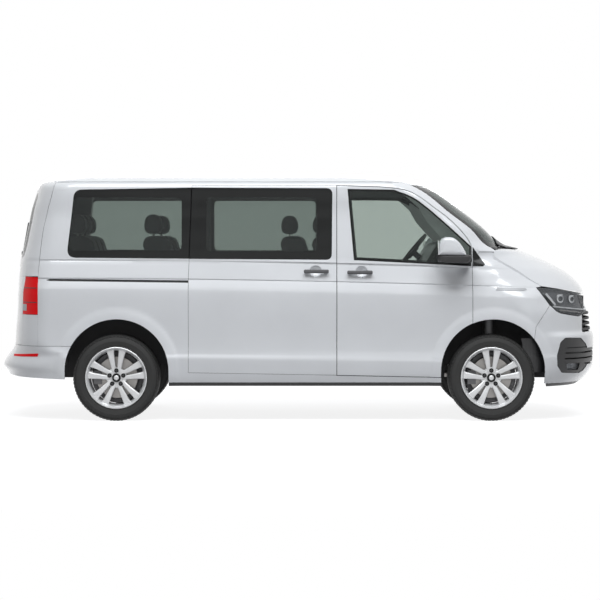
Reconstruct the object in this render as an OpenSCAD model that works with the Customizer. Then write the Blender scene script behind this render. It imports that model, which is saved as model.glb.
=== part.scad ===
// Minibus on a light van platform, with hollow cabin, hinged doors and steered wheels.
// +X is forward, +Y is the left side, +Z is up. The origin is on the road under the middle.

/* [Overall] */
// Distance between the front and rear axles
wheelbase = 3000; // [2700:10:3600]
// Front axle to the tip of the front bumper
front_overhang = 909; // [880:1:960]
// Rear axle to the tip of the rear bumper
rear_overhang = 995; // [960:1:1250]
// Width of the body without its mirrors
body_width = 1904; // [1580:2:2300]
// Height of the roof above the road
roof_height = 1990; // [1860:10:2400]

/* [Wheels] */
// Outer radius of a tyre
tyre_radius = 345; // [290:1:370]
// Width of a tyre
tyre_width = 255; // [205:1:275]
// Distance from the body side in to the tyre's outer wall
tyre_inset = 10; // [5:1:40]
// Radius of the rim's outer flange
rim_radius = 246; // [205:1:262]
// Radius of the hub bore that turns on the spindle
hub_bore = 30; // [20:1:36]
// Radius of the brake disc
disc_radius = 165; // [130:1:175]
// Radius of the wheel arch openings
arch_radius = 415; // [400:1:430]
// Steering axis, measured in from the tyre's middle
kingpin_offset = 74; // [60:1:90]

/* [Panels] */
// Thickness of a hinged door, the tailgate and the bonnet frame
door_wall = 60; // [50:1:66]
// Thickness of the body sides from skin to trim
side_wall = 100; // [85:1:110]
// Thickness of the roof with its lining
roof_wall = 30; // [25:1:36]
// Shut gap round a door or lid
panel_gap = 6; // [5:1:10]
// Thickness of the window glass
glass_wall = 6; // [4:1:8]
// Gap left at a seam or a rubber buffer
seam = 0.3; // [0.2:0.1:0.5]

/* [Cabin] */
// Height of the cabin floor above the road
floor_height = 560; // [540:1:600]
// Width of one seat
seat_width = 480; // [400:1:520]
// Radius of the steering wheel's rim
steering_radius = 190; // [170:1:205]

/* [Mounts] */
// Bolt hole radius of the tow bar plates
tow_hole = 6.5; // [5:0.5:8]
// Tow bar bolt spacing across the rails
tow_spacing_y = 856; // [840:1:880]
// Tow bar bolt spacing along the rails
tow_spacing_x = 90; // [60:1:120]
// Core hole radius of the roof rack points
rack_hole = 3.4; // [2.5:0.1:5]
// Roof rack point spacing along the roof
rack_spacing_x = 1500; // [1200:10:1800]
// Roof rack point spacing across the roof
rack_spacing_y = 1240; // [1100:10:1300]

/* [Hidden] */

// The outlines below are drawn for a 3000 mm wheelbase and a 1990 mm roof. at_x and at_z move
// them with the axle they belong to and stretch the glasshouse to the roof height.
drawn_front_axle = 1543;
drawn_rear_axle = -1457;
drawn_roof = 1990;
belt_height = 1290;
axle_split = -950;
half_width = body_width / 2;
nose_x = (wheelbase + front_overhang + rear_overhang) / 2;
tail_x = -nose_x;
front_axle_x = nose_x - front_overhang;
rear_axle_x = tail_x + rear_overhang;
function at_x(x) = x > axle_split ? x - drawn_front_axle + front_axle_x : x - drawn_rear_axle + rear_axle_x;
function at_z(z) = z < belt_height ? z
    : belt_height + (z - belt_height) * (roof_height - belt_height) / (drawn_roof - belt_height);
function placed(points) = [for (p = points) [at_x(p[0]), at_z(p[1])]];

// Levels of the body: height, setback from the nose, setback from the tail, setback from the
// side, length of the front corner and length of the rear corner.
levels = [
    [235, 190, 110, 60, 540, 500],
    [300, 66, 80, 30, 560, 520],
    [375, 12, 46, 16, 590, 580],
    [430, 0, 10, 8, 600, 600],
    [505, 0, 47, 0, 600, 580],
    [540, 0, 78, 12, 600, 500],
    [600, 0, 110, 12, 600, 360],
    [660, 2, 115, 12, 610, 340],
    [720, 22, 118, 10, 620, 340],
    [860, 38, 131, 8, 640, 340],
    [955, 69, 135, 6, 690, 340],
    [1005, 80, 136, 4, 730, 340],
    [1045, 98, 139, 4, 790, 340],
    [1085, 124, 142, 10, 850, 340],
    [1140, 176, 143, 24, 910, 340],
    [1205, 262, 148, 20, 930, 340],
    [1250, 348, 150, 18, 920, 340],
    [1290, 430, 155, 18, 880, 340],
    [1325, 516, 163, 20, 780, 340],
    [1361, 610, 173, 22, 600, 340],
    [1400, 752, 182, 27, 430, 340],
    [1557, 931, 215, 47, 320, 340],
    [1690, 1099, 242, 70, 310, 340],
    [1817, 1267, 281, 92, 320, 340],
    [1882, 1366, 301, 106, 350, 340],
    [1922, 1434, 325, 150, 420, 380],
    [1945, 1518, 362, 215, 500, 420],
    [1965, 1640, 392, 310, 590, 460],
    [1978, 1854, 530, 420, 700, 500],
    [1986, 2150, 870, 540, 700, 500],
    [1990, 2500, 1300, 700, 600, 500]];
front_power = 0.77;
rear_power = 0.66;
front_angles = [for (a = [0:10:90]) a];
rear_angles = [for (a = [90:-15:0]) a];
inner_bottom = 100;

// One half outline of a level, from the middle of the nose round the right side to the tail.
function half_ring(level, inset) = let (
        front = nose_x - level[1] - inset,
        rear = tail_x + level[2] + inset,
        side = half_width - level[3] - inset)
    concat(
        [for (a = front_angles) [front - level[4] * (1 - cos(a)), -side * pow(sin(a), front_power)]],
        [for (a = rear_angles) [rear + level[5] * (1 - cos(a)), -side * pow(sin(a), rear_power)]]);
function full_ring(half) = concat(half, [for (i = [len(half) - 2:-1:1]) [half[i][0], -half[i][1]]]);
// Height of a level, lowered towards the crown by drop.
function ring_z(index, drop) = let (z = levels[index][0]) at_z(z)
    - drop * max(0, (z - belt_height) / (drawn_roof - belt_height))
    - (index == 0 && drop > 0 ? inner_bottom : 0);

// The whole body as a solid, with every face moved in by inset and the roof lowered by drop.
module body_solid(inset = 0, drop = 0) {
    rings = [for (i = [0:len(levels) - 1]) let (z = ring_z(i, drop))
        [for (p = full_ring(half_ring(levels[i], inset))) [p[0], p[1], z]]];
    n = len(rings[0]);
    top = (len(rings) - 1) * n;
    polyhedron(
        points = [for (ring = rings) for (p = ring) p],
        faces = concat(
            [[for (i = [n - 1:-1:0]) i]],
            [[for (i = [0:n - 1]) top + i]],
            [for (k = [0:len(rings) - 2]) for (i = [0:n - 1]) let (j = (i + 1) % n)
                [k * n + j, (k + 1) * n + j, (k + 1) * n + i]],
            [for (k = [0:len(rings) - 2]) for (i = [0:n - 1]) let (j = (i + 1) % n)
                [k * n + j, (k + 1) * n + i, k * n + i]]),
        convexity = 6);
}

// The part of the body between two depths under its skin.
module skin(outer, inner, outer_drop = 0, inner_drop = roof_wall) {
    difference() {
        body_solid(outer, outer_drop);
        body_solid(inner, inner_drop);
    }
}
module glass_skin() { skin(glass_wall / 2, glass_wall * 1.5, glass_wall / 2, glass_wall * 1.5); }

// A side-view shape carried through the right side from a depth, and one carried through both.
side_reach = 500;
module side_cut(reach = side_reach) {
    translate([0, -reach, 0]) rotate([90, 0, 0]) linear_extrude(half_width) children();
}
module both_cut() {
    translate([0, body_width, 0]) rotate([90, 0, 0]) linear_extrude(2 * body_width) children();
}
module front_cut() { rotate([90, 0, 90]) linear_extrude(2 * nose_x) children(); }
module rear_cut() { rotate([90, 0, -90]) linear_extrude(2 * nose_x) children(); }
module left_of() { mirror([0, 1, 0]) children(); }
module meshed() { resize([0, 0, 0]) children(); }
module pair() {
    children();
    left_of() children();
}
module softened(r) { offset(r) offset(-r) children(); }
module box(low, high) { translate(low) cube(high - low); }

// Side-view outlines, as closed shapes.
gutter_z = at_z(1882);
sill_top = 351;
door_front_x = at_x(1391);
door_split_x = at_x(306);
door_rear_x = at_x(-881);
arch_z = 400;
module front_door_shape() {
    polygon(placed([[306, 366], [306, 1874], [649, 1876], [841, 1852], [964, 1797], [1072, 1718],
        [1211, 1615], [1335, 1485], [1383, 1410], [1391, 1235], [1391, 350], [1100, 350]]));
}
module sliding_door_shape() {
    polygon(placed([[-881, 386], [-881, 1140], [-849, 1290], [-849, 1874], [306, 1874], [306, 366]]));
}
module arch_shape(axle_x, extra = 0) {
    translate([axle_x, arch_z]) circle(arch_radius + extra, $fn = 48);
    translate([axle_x - arch_radius - extra, 0]) square([2 * (arch_radius + extra), arch_z]);
}
front_arch_x = front_axle_x + 11;
rear_arch_x = rear_axle_x + 5;
module rear_window_shape() {
    softened(40) polygon(placed([[-1846, 1310], [-1790, 1850], [-875, 1858], [-875, 1310]]));
}
module middle_window_shape() {
    softened(40) polygon(placed([[-820, 1300], [-820, 1856], [262, 1850], [262, 1290]]));
}
module door_window_shape() {
    softened(15) polygon(placed([[443, 1285], [400, 1838], [772, 1832], [910, 1780], [1019, 1712],
        [1102, 1643], [1211, 1546], [1300, 1455], [1300, 1243]]));
}
// Tailgate edge down the rear corner and over the roof, as a line of points.
tail_line = [[-2081, 1153], [-2077, 1244], [-2065, 1385], [-2045, 1548], [-2004, 1720], [-1961, 1882],
    [-1953, 1912], [-2050, 1970], [-2050, 2200]];
module ahead_of_tail(shift) {
    polygon(concat([for (p = tail_line) [at_x(p[0]) + shift, at_z(p[1])]],
        [[nose_x + 100, at_z(2200)], [nose_x + 100, 200], [at_x(-2081) + shift, 200]]));
}
lamp_inner_y = half_width - 187;
bumper_top_z = 596;
lamp_bottom_z = 848;
tail_top_z = 1153;
windscreen_side = half_width - 182;
module windscreen_shape(extra = 0) {
    offset(delta = extra) polygon([for (p = [[-windscreen_side, 1385], [-windscreen_side - 4, 1684],
        [-windscreen_side + 28, 1882], [windscreen_side - 28, 1882], [windscreen_side + 4, 1684],
        [windscreen_side, 1385]]) [p[0], at_z(p[1])]]);
}
module wing_shape() {
    polygon(placed([[1394, 700], [1394, 1235], [1446, 1350], [1561, 1350], [1623, 1274], [1761, 1192],
        [1898, 1110], [1949, 1073], [1899, 1063], [2002, 923], [1895, 755], [1880, 700]]));
}
module headlamp_shape() {
    polygon(placed([[1899, 1063], [1949, 1070], [2061, 1057], [2247, 1022], [2267, 973], [2297, 883],
        [2262, 848], [2231, 835], [2089, 858], [2053, 878], [2002, 923]]));
}
bonnet_side = half_width - 127;
bonnet_hinge = [at_x(1552), at_z(1366)];
bonnet_edge_x = at_x(1843);
bonnet_sweep = 281;
module bonnet_plan(gap) {
    polygon(concat(
        [[nose_x + 50, bonnet_side - gap]],
        [for (t = [1:-0.125:-1]) [bonnet_edge_x + gap - bonnet_sweep * pow(abs(t), 2.2),
            t * (bonnet_side - gap)]],
        [[nose_x + 50, -bonnet_side + gap]]));
}
module bonnet_side_view() {
    polygon([[at_x(1500), 1200], [at_x(1949), 1077], [at_x(2380), 1012], [nose_x + 50, 1012],
        [nose_x + 50, 1500], [at_x(1500), 1500]]);
}
grille_half = [520, 570];
grille_z = [735, 1006];
module grille_shape(extra = 0) {
    offset(delta = extra) polygon([[-grille_half[0], grille_z[0]], [-grille_half[1], grille_z[1]],
        [grille_half[1], grille_z[1]], [grille_half[0], grille_z[0]]]);
}
module tailgate_window_shape() {
    softened(60) polygon([for (p = [[-760, 1300], [-690, 1830], [690, 1830], [760, 1300]])
        [p[0] + sign(p[0]) * (half_width - 952), at_z(p[1])]]);
}

// Body sides: outer skin with its trim, cut at the doors, plus the rebate frame behind the doors.
frame_depth = door_wall + panel_gap;
frame_rim = 70;
module door_holes() {
    offset(delta = panel_gap / 2) front_door_shape();
}
module side_outline() {
    intersection() {
        union() {
            ahead_of_tail(0);
            polygon(placed([[-2600, bumper_top_z], [-2600, lamp_bottom_z], [-2082, lamp_bottom_z],
                [-2082, tail_top_z], [-1900, tail_top_z], [-1900, bumper_top_z]]));
        }
        polygon([[tail_x - 50, bumper_top_z], [at_x(-2083), bumper_top_z], [at_x(-2083), 560],
            [at_x(-1867), 300],
            [at_x(1140), 300], [at_x(1391), 700], [at_x(1394), at_z(1235)], [at_x(1443), at_z(1352)],
            [at_x(1566), at_z(1352)], [nose_x, at_z(1352)], [nose_x, gutter_z], [tail_x - 50, gutter_z]]);
    }
}
module side_panel(sliding) {
    meshed() union() {
        difference() {
            intersection() {
                skin(0, side_wall, 0, side_wall);
                side_cut() side_outline();
            }
            side_cut() door_holes();
            if (sliding) side_cut() offset(delta = panel_gap / 2) sliding_door_shape();
            if (!sliding) side_cut() middle_window_shape();
            side_cut() rear_window_shape();
            side_cut() arch_shape(front_arch_x);
            side_cut() arch_shape(rear_arch_x);
            windscreen_space();
            translate([at_x(-2150) - 1000, -lamp_inner_y, 0]) cube([1000, body_width, 3000]);
            roof_opening();
        }
        difference() {
            intersection() {
                skin(frame_depth, side_wall, frame_depth, side_wall);
                side_cut() intersection() {
                    union() {
                        offset(delta = panel_gap) front_door_shape();
                        if (sliding) offset(delta = panel_gap) sliding_door_shape();
                    }
                    side_outline();
                }
            }
            side_cut() offset(delta = -frame_rim) front_door_shape();
            side_cut() pillar_relief();
            if (sliding) side_cut() offset(delta = -frame_rim) sliding_door_shape();
            if (sliding) side_cut() middle_window_shape();
            side_cut() door_window_shape();
            side_cut() arch_shape(front_arch_x, 2);
            windscreen_space();
        }
        door_buffers();
    }
}
// Upper front corner of the frame, which the swinging door's window frame sweeps through.
module pillar_relief() { translate([at_x(1095), belt_height]) square([frame_depth * 5, frame_depth * 6]); }
// Space of the windscreen, and of the scuttle and bonnet below it.
module windscreen_space() {
    front_cut() windscreen_shape();
    box([at_x(1300), -windscreen_side, 1200], [nose_x, windscreen_side, at_z(1390)]);
    linear_extrude(at_z(1400)) bonnet_plan(-panel_gap / 2);
}
// Rubber buffers on the rebate frame that the closed door rests on.
buffer_size = 30;
buffer_inset = 38;
module door_buffers() {
    intersection() {
        skin(door_wall + 2 * seam, side_wall, door_wall + 2 * seam, side_wall);
        side_cut() for (z = [520, 1000]) translate([door_split_x + buffer_inset, z])
            square(buffer_size, center = true);
    }
}
module roof_opening() { box([tail_x, -half_width, gutter_z], [nose_x, half_width, roof_height + 50]); }
module right_side_panel() { color("gainsboro") side_panel(true); }
module left_side_panel() { color("gainsboro") left_of() side_panel(false); }

module roof() {
    color("whitesmoke") meshed() difference() {
        intersection() {
            skin(0, door_wall);
            both_cut() intersection() {
                ahead_of_tail(0);
                translate([tail_x, gutter_z + seam]) square([2 * nose_x, 500]);
            }
        }
        rack_seats() translate([0, 0, -seam]) cylinder(r = rack_pad + seam, h = 100, $fn = 48);
    }
}

// Threaded inserts in the gutters that a roof rack bolts to.
rack_pad = 18;
rack_depth = 26;
rack_floor = 4;
rack_x = at_x(-560);
rack_z = at_z(1948);
module rack_seats() {
    for (i = [-1, 1]) for (j = [-1, 1])
        translate([rack_x + i * rack_spacing_x / 2, j * rack_spacing_y / 2, rack_z]) children();
}
module roof_rack_points() {
    color("dimgray") rack_seats() difference() {
        cylinder(r = rack_pad, h = rack_depth, $fn = 48);
        translate([0, 0, rack_floor]) cylinder(r = rack_hole, h = rack_depth, $fn = 32);
    }
}

module wings() {
    color("whitesmoke") meshed() pair() difference() {
        intersection() {
            skin(0, 35);
            side_cut() wing_shape();
        }
        linear_extrude(3000) bonnet_plan(0);
        side_cut() arch_shape(front_arch_x);
    }
}

module headlamps() {
    color("lightgray") meshed() pair() difference() {
        intersection() {
            skin(seam, door_wall);
            side_cut(300) offset(delta = -seam) headlamp_shape();
        }
        front_cut() grille_shape(seam);
        bonnet_sweep_space();
    }
}
// Space that the bonnet takes with its shut gap.
module bonnet_sweep_space() {
    intersection() {
        linear_extrude(3000) bonnet_plan(-panel_gap);
        both_cut() offset(delta = panel_gap) bonnet_side_view();
    }
}

module bonnet() {
    color("whitesmoke") meshed() intersection() {
        skin(0, door_wall);
        linear_extrude(3000) bonnet_plan(panel_gap / 2);
        both_cut() bonnet_side_view();
    }
}

cowl_inset = 15;
module cowl() {
    color("dimgray") meshed() difference() {
        intersection() {
            skin(6, 90, 4, 40);
            both_cut() polygon([[at_x(1480), at_z(1310)], [at_x(1480), at_z(1384)], [at_x(1900), at_z(1384)],
                [at_x(1900), at_z(1310)]]);
        }
        linear_extrude(3000) bonnet_plan(-panel_gap);
        pair() translate([0, windscreen_side - cowl_inset, 0]) cube([nose_x, half_width, 3000]);
    }
}

module windscreen() {
    color("slategray", 0.5) meshed() intersection() {
        glass_skin();
        front_cut() windscreen_shape(-seam);
    }
}

module front_bumper() {
    color("gainsboro") meshed() difference() {
        intersection() {
            skin(0, 50);
            both_cut() polygon(placed([[1882, 200], [1882, 730], [1896, 752], [2004, 920], [2054, 874],
                [2090, 854],
                [2231, 831], [2262, 844], [2298, 879], [2320, 1000], [2600, 1000], [2600, 200]]));
        }
        front_cut() grille_shape();
        both_cut() offset(delta = seam) wing_shape();
        both_cut() arch_shape(front_arch_x);
        bonnet_sweep_space();
    }
}

// Grille with its bars and the radiator panel that carries the bonnet buffers.
bar_count = 4;
carrier_depth = 52;
module grille() {
    color("black") meshed() union() {
        intersection() {
            skin(12, 45);
            front_cut() difference() {
                grille_shape(-seam);
                for (i = [0:bar_count - 1])
                    translate([0, grille_z[0] + 50 + i * 55])
                        square([2 * grille_half[0] - 60, 30], center = true);
            }
            both_cut() square([nose_x + 10, 1004]);
        }
        intersection() {
            body_solid(door_wall + 1.2, roof_wall);
            pair() translate([at_x(2240), 420, 720]) cylinder(r = 16, h = 600, $fn = 24);
        }
        intersection() {
            body_solid(carrier_depth, roof_wall);
            box([at_x(2200), -480, grille_z[0] - 30], [nose_x, 480, grille_z[0] + 30]);
        }
        intersection() {
            body_solid(carrier_depth - 14, roof_wall);
            box([at_x(2215), -460, grille_z[0] + 8], [nose_x, 460, grille_z[0] + 24]);
        }
    }
}

module rear_bumper() {
    color("gainsboro") meshed() difference() {
        intersection() {
            skin(0, 50);
            both_cut() polygon([[tail_x - 20, 372], [tail_x - 20, bumper_top_z - seam],
                [at_x(-2083), bumper_top_z - seam],
                [at_x(-2083), 560 - seam], [at_x(-1800), 250], [at_x(-1800), 200], [tail_x + 100, 340]]);
        }
        both_cut() arch_shape(rear_arch_x);
        box([at_x(-1867), -body_width, 0], [nose_x, body_width, 3000]);
        box([tail_x - 50, -body_width, 0], [nose_x, body_width, 330]);
        side_space();
    }
}
// Side panel corner that the rear bumper meets below the lamps.
module side_space() {
    pair() side_cut() polygon([[at_x(-2083) - seam, bumper_top_z - seam],
        [at_x(-2083) - seam, 560 - 2 * seam],
        [at_x(-1867), 300 - seam], [nose_x, 300 - seam], [nose_x, bumper_top_z]]);
}

module tail_lamps() {
    color("firebrick") meshed() pair() difference() {
        intersection() {
            skin(0, 70);
            side_cut() polygon(placed([[-2600, lamp_bottom_z + seam], [-2600, tail_top_z],
                [-2082 - seam, tail_top_z], [-2082 - seam, lamp_bottom_z + seam]]));
        }
        translate([tail_x - 50, -lamp_inner_y, 0]) cube([tail_x + 3 * nose_x, body_width, 3000]);
    }
}

// Rear side glass of the right side and both side windows of the left.
module side_glass() {
    color("darkslategray", 0.6) meshed() {
        side_pane() rear_window_shape();
        left_of() side_pane() rear_window_shape();
        left_of() side_pane() middle_window_shape();
    }
}
module side_pane() {
    intersection() {
        glass_skin();
        side_cut() offset(delta = -seam) children();
    }
}

module sliding_door() {
    color("whitesmoke") meshed() difference() {
        intersection() {
            skin(0, frame_depth - seam, 0, frame_depth - seam);
            side_cut() offset(delta = -panel_gap / 2) sliding_door_shape();
        }
        side_cut() middle_window_shape();
        side_cut() arch_shape(rear_arch_x, panel_gap);
    }
}
module sliding_door_glass() { color("darkslategray", 0.6) meshed() side_pane() middle_window_shape(); }

// Front door, with the frame round its window. Behind the lip its rear edge stands back, to swing
// clear of the door behind it.
door_lip = 20;
module front_door() {
    meshed() difference() {
        intersection() {
            skin(0, door_wall, 0, door_wall);
            side_cut() offset(delta = -panel_gap / 2) front_door_shape();
        }
        side_cut() door_window_shape();
        side_cut() arch_shape(front_arch_x, panel_gap);
        intersection() {
            body_solid(door_lip, door_lip);
            side_cut() translate([door_split_x, 0]) square([door_lip, roof_height]);
        }
    }
}
module front_door_glass() { meshed() side_pane() door_window_shape(); }
module right_door() { color("whitesmoke") front_door(); }
module left_door() { color("whitesmoke") left_of() front_door(); }
module right_door_glass() { color("lightslategray", 0.5) front_door_glass(); }
module left_door_glass() { color("lightslategray", 0.5) left_of() front_door_glass(); }

// Mirror housing and its arm, on the door's front corner.
mirror_reach = 196;
mirror_round = 32;
mirror_ends = [-88, 88];
mirror_heights = [1318, 1440];
module mirror_head() {
    translate([at_x(1222), -half_width, 0]) {
        hull() for (x = mirror_ends) for (z = mirror_heights) for (y = [-50, mirror_round - mirror_reach])
            translate([x, y, at_z(z)]) sphere(r = mirror_round, $fn = 20);
        hull() {
            translate([60, -60, at_z(1305)]) sphere(r = 28, $fn = 20);
            translate([110, 36, at_z(1292)]) sphere(r = 22, $fn = 20);
        }
    }
}
module mirror_clear() {
    meshed() difference() {
        mirror_head();
        body_solid(-seam, 0);
    }
}
module right_mirror() { color("whitesmoke") mirror_clear(); }
module left_mirror() { color("whitesmoke") left_of() mirror_clear(); }

// Tailgate over the whole rear opening, with its window cut.
module tailgate_zone(gap) {
    union() {
        both_cut() difference() {
            translate([tail_x - 100, tail_top_z + gap]) square([nose_x, 1200]);
            ahead_of_tail(-gap);
        }
        box([tail_x - 100, -lamp_inner_y + gap, bumper_top_z + gap],
            [at_x(-2200), lamp_inner_y - gap, tail_top_z + 50]);
    }
}
module tailgate() {
    color("whitesmoke") meshed() difference() {
        intersection() {
            skin(0, door_wall, 0, door_wall);
            tailgate_zone(panel_gap);
        }
        rear_cut() tailgate_window_shape();
    }
}
module tailgate_glass() {
    color("darkslategray", 0.6) meshed() intersection() {
        glass_skin();
        rear_cut() offset(delta = -seam) tailgate_window_shape();
    }
}

// Floor with the inner sills and the striker that the closed tailgate rests on.
floor_wall = 20;
floor_half = half_width - 12 - side_wall - seam;
sill_outer = half_width - levels[1][3] - side_wall - seam;
sill_wall = 60;
tail_floor_inset = 290;
house_wall = 12;
house_radius = arch_radius + 12;
rear_house_inner = half_width - tyre_inset - tyre_width - 45;
front_house_inner = half_width - 472;
striker_level = levels[7];
striker_half = 20;
module floor_pan() {
    color("dimgray") difference() {
        union() {
            box([at_x(-1835), -floor_half, floor_height - floor_wall],
                [at_x(1290), floor_half, floor_height]);
            box([at_x(-2250), tail_floor_inset - floor_half, floor_height - floor_wall],
                [at_x(-1820), floor_half - tail_floor_inset, floor_height]);
            pair() box([at_x(-1000), sill_outer - sill_wall, 310], [at_x(1100), sill_outer, floor_height]);
            box([tail_x + striker_level[2] + door_wall + 4 * seam, -striker_half, floor_height - floor_wall],
                [at_x(-2230), striker_half, striker_level[0]]);
        }
        for (s = [-1, 1]) {
            translate([rear_arch_x, s * (rear_house_inner - house_wall), arch_z]) rotate([-90 * s, 0, 0])
                cylinder(r = house_radius + house_wall, h = 600, $fn = 96);
            translate([front_arch_x, s * (front_house_inner - house_wall), arch_z]) rotate([-90 * s, 0, 0])
                cylinder(r = house_radius + house_wall, h = 600, $fn = 96);
        }
    }
}

// Arch liners: half drums over each wheel, closed on the inner side.
module wheelhouse(x, inner) {
    depth = half_width - 36 - inner;
    translate([x, inner - house_wall, arch_z]) rotate([-90, 0, 0]) difference() {
        cylinder(r = house_radius + house_wall, h = depth, $fn = 96);
        translate([0, 0, house_wall]) cylinder(r = house_radius, h = depth, $fn = 96);
        translate([-600, -40, -1]) cube([1200, 1200, depth + 2]);
    }
}
module wheelhouses() {
    color("black") meshed() intersection() {
        pair() {
            wheelhouse(rear_arch_x, rear_house_inner);
            wheelhouse(front_arch_x, front_house_inner);
        }
        body_solid(side_wall + seam, side_wall);
    }
}

// Two long rails with crossmembers. Their rear ends are open boxes with the tow bar bolt holes.
rail_inner = front_house_inner - house_wall - 80;
rail_outer = front_house_inner - house_wall;
rail_bottom = 430;
rail_top = floor_height - floor_wall;
rail_tail = at_x(-2268);
rail_nose = at_x(2290);
tow_x = at_x(-2200);
plate_wall = 10;
module chassis_rails() {
    color("dimgray") difference() {
        union() {
            pair() box([rail_tail, rail_inner, rail_bottom], [rail_nose, rail_outer, rail_top]);
            for (x = [-2250, -1000, -500, 800, 2250])
                box([at_x(x) - 30, -rail_inner - 1, rail_bottom + 10],
                    [at_x(x) + 30, rail_inner + 1, rail_top - 10]);
        }
        for (i = [-1, 1]) for (j = [-1, 1])
            translate([tow_x + i * tow_spacing_x / 2, j * tow_spacing_y / 2, rail_bottom - 1])
                cylinder(r = tow_hole, h = plate_wall + 1, $fn = 32);
        pair() box([rail_tail + 12, rail_inner + 12, rail_bottom + plate_wall],
            [tow_x + 90, rail_outer - 12, rail_top + 1]);
    }
}

module firewall() {
    color("dimgray") union() {
        box([at_x(1290) + seam, -rail_inner + seam, rail_top + seam],
            [at_x(1306), rail_inner - seam, at_z(1330)]);
        box([at_x(1290) + seam, -floor_half + 40, arch_z + house_radius + house_wall + 4],
            [at_x(1306), floor_half - 40, at_z(1330)]);
    }
}

column = [at_x(972), 420, at_z(1350)];
column_tilt = 39.2;
column_length = 330;
module dashboard() {
    color("darkslategray") meshed() union() {
        intersection() {
            body_solid(side_wall + 12, side_wall);
            translate([0, body_width / 2, 0]) rotate([90, 0, 0]) linear_extrude(body_width)
                polygon(placed([[1290, 900], [1290, 1334], [1640, 1350], [1600, 1378], [1250, 1420],
                    [1180, 1432], [1110, 1410], [1030, 1280], [1040, 1080], [1150, 900]]));
        }
        translate(column) rotate([0, 90 + column_tilt, 0]) translate([0, 0, 31])
            cylinder(r = 26, h = column_length - 30, $fn = 24);
    }
}
module steering_wheel() {
    color("black") translate(column) rotate([0, 90 + column_tilt, 0]) union() {
        rotate_extrude($fn = 96) translate([steering_radius - 15, 0]) circle(15, $fn = 32);
        cylinder(r = 62, h = 30, $fn = 48);
        for (a = [-90, 90, 180]) rotate([0, 0, a]) translate([40, -18, 4])
            cube([steering_radius - 60, 36, 12]);
    }
}

// One seat, as its side profile drawn about the head restraint's middle.
module seat(x, y, width, base = 360) {
    translate([at_x(x), y, 0]) union() {
        rotate([90, 0, 0]) translate([0, 0, -width / 2]) linear_extrude(width)
            polygon([[130, 820], [600, 850], [620, 960], [570, 990], [330, 950], [270, 1000], [110, 1470],
                [80, 1500], [-90, 1490], [-70, 1400], [90, 880]]);
        rotate([90, 0, 0]) translate([0, 0, -width / 4]) linear_extrude(width / 2)
            polygon([[75, 1490], [80, 1640], [50, 1660], [-50, 1660], [-75, 1630], [-75, 1485]]);
        box([200, -base / 2, floor_height], [560, base / 2, 840]);
    }
}
front_seat_y = 430;
module front_seats() {
    color("darkslategray") union() {
        seat(-75, front_seat_y, seat_width);
        seat(190, -front_seat_y, seat_width);
    }
}
module second_row_seats() {
    color("darkslategray") union() {
        seat(-1182, 500, seat_width);
        seat(-1182, -500, seat_width);
    }
}
module third_row_seats() {
    color("darkslategray") for (i = [-1, 0, 1]) seat(-1810, i * (seat_width - 60), seat_width - 62, 320);
}

engine_x = at_x(1420);
module engine_block() {
    color("dimgray") box([engine_x, -330, rail_bottom], [at_x(2000), 330, 1040]);
}

// Front crossmember with the lower arms and the eyes of the ball joints.
wheel_y = half_width - tyre_inset - tyre_width / 2;
kingpin_y = wheel_y - kingpin_offset;
kingpin_radius = 14;
arm_z = 190;
arm_wall = 28;
module front_subframe() {
    color("dimgray") union() {
        difference() {
            box([front_axle_x - 160, -rail_outer, rail_bottom - 60],
                [front_axle_x + 100, rail_outer, rail_bottom - seam]);
            box([front_axle_x - 110, -rail_inner + 80, 0], [front_axle_x + 50, rail_inner - 80, 1000]);
        }
        pair() difference() {
            union() {
                box([front_axle_x - 60, rail_outer - 120, arm_z],
                    [front_axle_x + 20, rail_outer - 60, rail_bottom - 30]);
                box([front_axle_x - 25, rail_outer - 80, arm_z],
                    [front_axle_x + 25, kingpin_y, arm_z + arm_wall]);
                translate([front_axle_x, kingpin_y, arm_z]) cylinder(r = 32, h = arm_wall, $fn = 48);
            }
            translate([front_axle_x, kingpin_y, arm_z - 1])
                cylinder(r = kingpin_radius + seam, h = arm_wall + 2, $fn = 48);
        }
    }
}

// Upright with its ball pin, spindle, caliper and strut. It is drawn for the left side.
spindle_tip = wheel_y + 30;
strut_y = kingpin_y - 110;
disc_wall = 24;
disc_y = wheel_y + 4;
module knuckle() {
    union() {
        translate([front_axle_x, kingpin_y, arm_z + 4]) cylinder(r = kingpin_radius, h = 60, $fn = 48);
        box([front_axle_x - 35, kingpin_y - 30, arm_z + arm_wall + 4],
            [front_axle_x + 35, kingpin_y + 30, tyre_radius + 75]);
        translate([front_axle_x, kingpin_y, tyre_radius]) rotate([-90, 0, 0])
            cylinder(r = hub_bore - seam, h = spindle_tip - kingpin_y, $fn = 64);
        box([front_axle_x - 30, strut_y - 20, tyre_radius + 20],
            [front_axle_x + 30, kingpin_y, tyre_radius + 75]);
        translate([front_axle_x, strut_y, tyre_radius + 40]) cylinder(r = 26, h = 250, $fn = 48);
        translate([front_axle_x, strut_y, tyre_radius + 290]) cylinder(r = 50, h = 12, $fn = 48);
        translate([front_axle_x, strut_y, tyre_radius + 300]) cylinder(r = 48, h = 155, $fn = 48);
        caliper(front_axle_x, kingpin_y);
    }
}
// Brake caliper that straddles the disc at the rear of the wheel.
module caliper(x, from_y) {
    difference() {
        box([x - disc_radius - 22, from_y - 10, tyre_radius - 55],
            [x - disc_radius + 45, disc_y + disc_wall + 14, tyre_radius + 55]);
        translate([x, disc_y - 4, tyre_radius]) rotate([-90, 0, 0])
            cylinder(r = disc_radius + 5, h = disc_wall + 8, $fn = 96);
    }
    box([x - disc_radius + 20, from_y - 10, tyre_radius - 30], [x, from_y + 14, tyre_radius + 30]);
}
module right_knuckle() { color("gray") mirror([0, 1, 0]) knuckle(); }
module left_knuckle() { color("gray") knuckle(); }

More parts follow.
